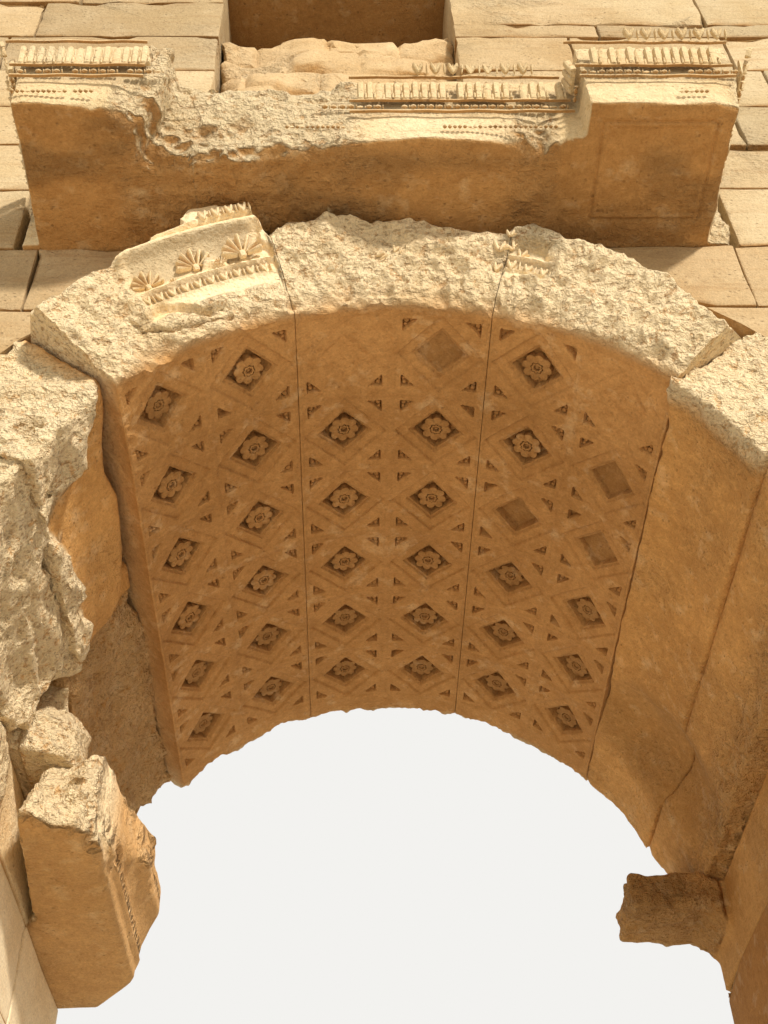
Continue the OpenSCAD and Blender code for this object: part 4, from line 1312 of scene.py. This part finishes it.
for node, cuts_x, cuts_z, seed in (
        ("shelf_course_left", (0.46,), (), 43), ("shelf_course_right", (0.58,), (), 44),
        ("shelf_course_core", (0.33, 0.68), (), 45), ("apron_course_left", (0.42,), (0.52,), 46),
        ("apron_course_right", (0.40,), (0.5,), 47), ("apron_course_core", (), (0.5,), 48),
        ("sill_course_left", (0.62,), (0.49,), 49), ("sill_course_right", (0.34, 0.72), (0.5,), 50),
        ("sill_course_core", (), (0.5,), 51), ("niche_jamb_left", (0.45,), (0.55,), 52),
        ("niche_jamb_right", (0.36,), (0.2,), 53), ("niche_back", (), (0.5,), 54), ("niche_lintel", (), (), 55),
        ("top_course_left", (0.5,), (), 56), ("top_course_right", (0.45,), (), 57)):
    low, high = corners(node)
    boxes = []
    for k, (l, h) in enumerate(split(low, high, 2, cuts_z)):
        cuts = cuts_x if k % 2 == 0 else sorted(1 - c for c in cuts_x)
        for l2, h2 in split(l, h, 0, cuts):
            boxes += split(l2, h2, 1, (0.36, 0.66) if k % 2 == 0 else (0.5,))
    coursed(node + "_blocks", boxes, 0.1, 0.012, weathered, [node], wall_marks, seed=seed, wear=1.3,
            limit=5000 if "core" in node else 9500)


# ---------------------------------------------------------------- blocking in the foot of the niches
# Rough rounded stones and packing of the same limestone, laid dry. They fill the foot of each niche
# and stand back from the wall face.

def blocking_field(p, sign):
    x, z = p[:, 0], p[:, 2]
    y = p[:, 1] * sign
    low, high = corners("niche_blocking")
    room = np.maximum(np.maximum(low[0] + 0.01 - x, x - high[0] + 0.01), np.maximum(low[2] + 0.002 - z, z - high[2]))
    room = np.maximum(room, y + 1.135)
    bed = (z + 0.05 * grain(p, 0.6, 4) - 8.71) / 0.30
    step = bed - np.floor(bed)
    groove = ease(np.abs(step - 0.5), 0.40, 0.5) * 0.035
    along = (x + 0.23 * np.floor(bed)) / 0.52
    part = np.abs(along - np.floor(along) - 0.5)
    groove = np.maximum(groove, ease(part, 0.43, 0.5) * 0.03)
    face = -1.60 - y + groove + 0.09 * grain(p, 0.35, 6)
    face = face + 0.16 * ease(0.30 - np.hypot((x - 0.0) / 1.6, (z - 9.78) / 0.9), 0, 0.12) * (sign > 0)
    solid = both(face, room, 0.06)
    return solid + ruin_detail(p, solid, 0.8, 15.0 + sign)


for node, sign in (("niche_blocking", 1), ("rear_niche_blocking", -1)):
    low, high = corners(node)
    verts, quads = carve(lambda p: blocking_field(p, sign), low - 0.05, high + 0.05, ROUGH_CELL * 1.3)
    lay(node + "_stones", mesh_of(node, verts, [quads]), fractured, [node], shaded_marks, limit=12000)


# ---------------------------------------------------------------- carved rows on the shelf
# Enriched mouldings round the shelf, cut from the same stone: small beads, a bead-and-reel, broad
# upright tongues and a leaf row under the lip. The front keeps them in lengths only, the rear all round.

def bar(length, width, height, levels, widths, heights):
    """A closed raised bar along y from 0 to its length, with a rounded back. Levels are shares of the length."""
    verts = []
    for t, w, h in zip(levels, widths, heights):
        w, h = w * width / 2, h * height
        verts += [(x, t * length, z) for x, z in ((-w, -0.006), (-w, 0.25 * h), (-0.65 * w, 0.85 * h), (0, h),
                                                  (0.65 * w, 0.85 * h), (w, 0.25 * h), (w, -0.006))]
    near, far = np.arange(7), (np.arange(7) + 1) % 7
    quads = np.concatenate([np.stack([7 * k + near, 7 * k + 7 + near, 7 * k + 7 + far, 7 * k + far], -1)
                            for k in range(len(levels) - 1)])
    fan = np.array([(0, k, k + 1) for k in range(1, 6)])
    return np.array(verts), [quads, np.concatenate([fan, fan[:, ::-1] + 7 * (len(levels) - 1)])]


def turned(stations, spokes, z):
    """A solid turned about x, as a bead or a reel: stations are pairs of place along x and radius."""
    turn = np.linspace(0, 2 * math.pi, spokes, endpoint=False)
    verts = np.concatenate([np.stack([np.full(spokes, x), r * np.cos(turn), z + r * np.sin(turn)], -1)
                            for x, r in stations])
    near, far = np.arange(spokes), (np.arange(spokes) + 1) % spokes
    quads = np.concatenate([np.stack([a + near, a + far, a + spokes + far, a + spokes + near], -1)
                            for a in range(0, spokes * (len(stations) - 1), spokes)])
    fan = np.array([(0, k + 1, k) for k in range(1, spokes - 1)])
    return verts, [quads, np.concatenate([fan, fan[:, ::-1] + spokes * (len(stations) - 1)])]


def joined(parts):
    """Several carvings as one: each is given with its turn in degrees, its shift in x and y, and its size."""
    laid = []
    for (v, faces), turn, dx, dy, size in parts:
        c, s = math.cos(math.radians(turn)) * size, math.sin(math.radians(turn)) * size
        x, y = v[:, 0] * c - v[:, 1] * s + dx, v[:, 0] * s + v[:, 1] * c + dy
        laid.append((np.stack([x, y, v[:, 2] * size], -1), faces))
    return gathered(laid)


tongue = bar(0.168, 0.041, 0.024, [0, 0.05, 0.82, 1.0], [0.9, 1, 1, 0.3], [0.35, 0.8, 1.2, 0.4])
tip = bar(0.066, 0.016, 0.026, [0, 0.6, 1.0], [1, 0.9, 0.15], [0.9, 1, 0.5])
tongue_unit = joined([(tongue, 0, 0, 0, 1), (tip, 0, 0.025, 0, 1)])
bead = turned([(-0.027, 0.004), (-0.021, 0.013), (0, 0.020), (0.021, 0.013), (0.027, 0.004)], 6, 0.004)
reel = turned([(-0.005, 0.014), (0, 0.019), (0.005, 0.014)], 6, 0.003)
bead_unit = joined([(bead, 0, -0.009, 0, 0.62), (reel, 0, 0.018, 0, 0.66)])
small_bead = turned([(-0.011, 0.004), (0, 0.012), (0.011, 0.004)], 7, 0.003)
blade = bar(0.070, 0.026, 0.022, [0, 0.25, 0.65, 0.9, 1.0], [0.35, 0.9, 1.0, 0.7, 0.25], [0.7, 1, 1, 1.2, 0.7])
dart = bar(0.066, 0.012, 0.018, [0, 0.4, 0.8, 1.0], [0.4, 1, 0.9, 0.2], [0.8, 1, 0.9, 0.5])
leaf_unit = joined([(blade, 24, 0.003, 0, 1), (blade, -24, -0.003, 0, 1), (dart, 0, 0, 0.012, 0.8),
                    (dart, 0, 0.05, 0, 1)])


def shelf_path(back, rear=False):
    """Plan of one member so far behind the lip, from wall to wall, with its outer face on the right-hand side."""
    end, middle = END_FRONT + back, MIDDLE_FRONT + back
    a, b, c, d = LEFT_OUT + back, LEFT_IN - back, RIGHT_IN - 0.06 + back, RIGHT_OUT - back
    points = [(a, FRONT), (a, end), (b, end), (b, middle), (c, middle), (c, end), (d, end), (d, FRONT)]
    return [(x, -y) for x, y in reversed(points)] if rear else points


def facing(along, up, lean):
    """The turn that lays a carving on a face that leans out by some degrees: its x along the row, its y up."""
    along, up = Vector(along).normalized(), Vector(up).normalized()
    out = along.cross(up)
    c, s = math.cos(math.radians(lean)), math.sin(math.radians(lean))
    return tuple(Matrix((along, up * c + out * s, out * c - up * s)).transposed().to_euler())


def shelf_row(name, unit, pitch, height, back, kept, lean=0.0, sides=True):
    """Sets out one row round both shelves. Kept is the list of stretches in x that are left on the front."""
    stations = []
    for rear in (False, True):
        path = shelf_path(back, rear)
        for p, q in pairwise(path):
            run = math.dist(p, q)
            count = int((run - 0.4 * pitch) / pitch)
            for n in range(count):
                t = 0.5 + (n - (count - 1) / 2) * pitch / run
                x, y = p[0] + (q[0] - p[0]) * t, p[1] + (q[1] - p[1]) * t
                cross = abs(q[0] - p[0]) < 0.01
                if cross:
                    left = rear or (sides and not -1.3 < x < -1.0)
                else:
                    left = rear or any(a < x < b for a, b in kept)
                if not left or (not rear and random.random() < 0.04):
                    continue
                worn = 0.85 + 0.25 * random.random() if rear or random.random() < 0.85 else 0.45
                stations.append(((x, y, SHELF_Z + height), facing((q[0] - p[0], q[1] - p[1], 0), (0, 0, 1), lean),
                                 (1, 0.96 + 0.06 * random.random(), worn)))
    set_out(name, unit, stations, weathered, open_marks)


shelf_row("shelf_small_beads", small_bead, 0.027, 0.075, 0.112,
          ((-1.96, -1.53), (-0.57, -0.25), (0.26, 0.92), (1.50, 1.70)), sides=False)
shelf_row("shelf_bead_and_reel", bead_unit, 0.048, 0.282, 0.104, ((-1.99, -1.12), (-0.35, 0.98), (0.98, 1.96)))
shelf_row("shelf_tongues", tongue_unit, 0.0497, 0.338, 0.094, ((-2.0, -1.29), (-0.20, 0.97), (1.10, 1.82)), lean=7)
shelf_row("shelf_leaves", leaf_unit, 0.097, 0.524, 0.030, ((0.10, 0.83), (1.30, 1.86)), lean=22)


def swept(name, lines, width, height, material, marks):
    """A plain square fillet along each line of points, as one mesh, built by a sweep."""
    starts = np.cumsum([0] + [len(line) for line in lines])
    edges = [(int(s) + k, int(s) + k + 1) for s, line in zip(starts, lines) for k in range(len(line) - 1)]
    path = bpy.data.meshes.new(name + "_path")
    path.from_pydata([p for line in lines for p in line], edges, [])

    def sweep(tree, given):
        curve = add(tree, "GeometryNodeMeshToCurve", {0: given["Start"]})
        upright = add(tree, "GeometryNodeSetCurveNormal", {0: curve.outputs[0]}, mode="Z_UP")
        section = add(tree, "GeometryNodeCurvePrimitiveQuadrilateral",
                      {"Width": given["Fillet width"], "Height": given["Fillet height"]})
        return add(tree, "GeometryNodeCurveToMesh", {"Curve": upright.outputs[0], "Profile Curve": section.outputs[0],
                                                     "Fill Caps": True}).outputs[0]

    ready = built(name, path, {"Fillet width": ("Float", width), "Fillet height": ("Float", height),
                               "Stone": ("Material", material)}, sweep)
    return lay(name, ready, material, [], marks)


lines = []
for height, back in ((0.232, 0.101), (0.333, 0.090), (0.515, 0.046)):
    z = SHELF_Z + height
    path = shelf_path(back, True)
    lines.append([(*p, z) for p in path])
    path = shelf_path(back)
    for a, b, y in ((-2.10 + back, -1.30, path[1][1]), (-0.22, 0.90 + back, path[3][1]),
                    (0.90 + back, 1.84, path[5][1])):
        steps = np.linspace(a, b, 24)
        lines.append([(float(x), y + 0.002 * math.sin(x * 23), z + 0.002 * math.sin(x * 17)) for x in steps])
swept("shelf_fillets", lines, 0.014, 0.012, weathered, open_marks)


# ---------------------------------------------------------------- carved rows on the archivolt
# The front face of the ring kept three palmettes, a leaf row under them and a scrap of the cap on the left
# stone, and small scraps of the same rows on the others. Cut from the ring stones.

def petals():
    """A palmette: seven slim round-tipped petals fanned over a small foot."""
    parts = [(bar(0.030, 0.030, 0.020, [0, 0.3, 0.7, 1.0], [0.7, 1, 1, 0.5], [0.8, 1, 1, 0.6]), 0, 0, -0.012, 1)]
    for k in range(-3, 4):
        length = 0.088 - 0.006 * abs(k)
        petal = bar(length, 0.017, 0.026, [0.12, 0.4, 0.75, 0.92, 1.0], [0.35, 0.6, 0.95, 1.0, 0.4],
                    [0.6, 0.85, 1.1, 1.15, 0.5])
        parts.append((petal, -27 * k, 0.004 * k, 0.0, 1))
    return joined(parts)


def archivolt_row(name, unit, settings):
    """Sets a carving on the front face. Settings are angle from the crown, height over the intrados, size and turn."""
    stations = []
    for angle, q, size, turn in settings:
        a = math.radians(angle)
        y = float(face_y(np.array([angle]), np.array([q + 0.02]))[0])
        b = a + math.radians(turn)
        stations.append((((R_IN + q) * math.sin(a), y + 0.002, AXIS + (R_IN + q) * math.cos(a)),
                         facing((math.cos(b), 0, -math.sin(b)), (math.sin(b), 0, math.cos(b)), 20),
                         (size, size, size * 1.05)))
    set_out(name, unit, stations, patinated, open_marks)


archivolt_row("archivolt_palmettes", petals(),
              ((-35.6, 0.385, 1.15, 4), (-28.1, 0.405, 1.35, 2), (-21.4, 0.385, 1.40, 1), (-31.9, 0.352, 0.42, 0),
               (-24.9, 0.356, 0.42, 0)))
band = [(-37.2 + 2.02 * k, 0.277, 0.72, 0) for k in range(10)]
cap = [(-24.6 + 1.75 * k, 0.600, 0.80, 0) for k in range(4)]
scraps = [(15.6, 0.262, 0.85, 8), (17.8, 0.265, 0.9, -6), (20.2, 0.262, 0.8, 4), (22.6, 0.262, 0.75, 0),
          (-2.2, 0.30, 0.7, 60), (0.4, 0.31, 0.6, 20)]
archivolt_row("archivolt_leaf_rows", leaf_unit, band + cap + scraps)
archivolt_row("archivolt_scraps", joined([(blade, 40, 0, 0, 1), (blade, -10, 0.01, 0, 1), (dart, -60, 0, 0.01, 1)]),
              ((15.4, 0.36, 0.9, 10), (17.2, 0.40, 0.8, -30), (18.6, 0.37, 0.7, 20), (16.6, 0.44, 0.6, 0)))


# ---------------------------------------------------------------- floor, light and camera
# A plain pale floor and a pale backdrop. A low sun nearly in front and a little to the right, with
# light thrown up from the ground all round. The camera stands at eye height and looks steeply up.
floor_mesh = bpy.data.meshes.new("floor")
floor_mesh.from_pydata([(-60, -60, 0), (60, -60, 0), (60, 60, 0), (-60, 60, 0)], [], [(0, 1, 2, 3)])
floor = put("floor", floor_mesh)
floor_paint = bpy.data.materials.new("pale_studio_floor")
floor_paint.use_nodes = True
floor_shader = floor_paint.node_tree.nodes["Principled BSDF"]
floor_shader.inputs["Base Color"].default_value = linear("#DDD5C8")
floor_shader.inputs["Roughness"].default_value = 0.9
floor_mesh.materials.append(floor_paint)
floor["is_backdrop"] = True

world = bpy.data.worlds.new("studio")
bpy.context.scene.world = world
world.use_nodes = True
sky = world.node_tree
sky.nodes.clear()
seen = add(sky, "ShaderNodeLightPath").outputs["Is Camera Ray"]
glow = add(sky, "ShaderNodeBackground", {"Color": linear("#F4F1EA"), "Strength": 0.78})
paper = add(sky, "ShaderNodeBackground", {"Color": linear("#F3F2EF"), "Strength": 1.0})
mixed = add(sky, "ShaderNodeMixShader", {0: seen, 1: glow.outputs[0], 2: paper.outputs[0]})
add(sky, "ShaderNodeOutputWorld", {0: mixed.outputs[0]})

SUN_AZIMUTH, SUN_HEIGHT = math.radians(26), math.radians(23)
lamp = bpy.data.lights.new("key", "SUN")
lamp.energy = 3.9
lamp.angle = math.radians(5)
lamp.color = (1.0, 0.955, 0.885)
key = put("key", lamp)
toward = Vector((math.sin(SUN_AZIMUTH) * math.cos(SUN_HEIGHT), -math.cos(SUN_AZIMUTH) * math.cos(SUN_HEIGHT),
                 math.sin(SUN_HEIGHT)))
key.rotation_mode = "QUATERNION"
key.rotation_quaternion = toward.to_track_quat("Z", "Y")

FOCAL_LENGTH, PICTURE_HEIGHT = 1273.4, 1024  # both in pixels of the picture
camera_data = bpy.data.cameras.new("camera")
camera_data.sensor_width = 36
camera_data.lens = FOCAL_LENGTH * 36 / PICTURE_HEIGHT
camera_data.clip_end = 200
camera = put("camera", camera_data)
right = Vector((0.99926864, -0.01722992, -0.03413683))
up = Vector((0.01167799, -0.71257275, 0.70150103))
back = -Vector((0.03641178, 0.70138663, 0.71185039))
camera.rotation_mode = "QUATERNION"
camera.rotation_quaternion = Matrix((right, up, back)).transposed().to_quaternion()
camera.location = (-0.309, -5.722, 1.632)
bpy.context.scene.camera = camera
bpy.context.scene.view_settings.view_transform = "Standard"

low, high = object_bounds()
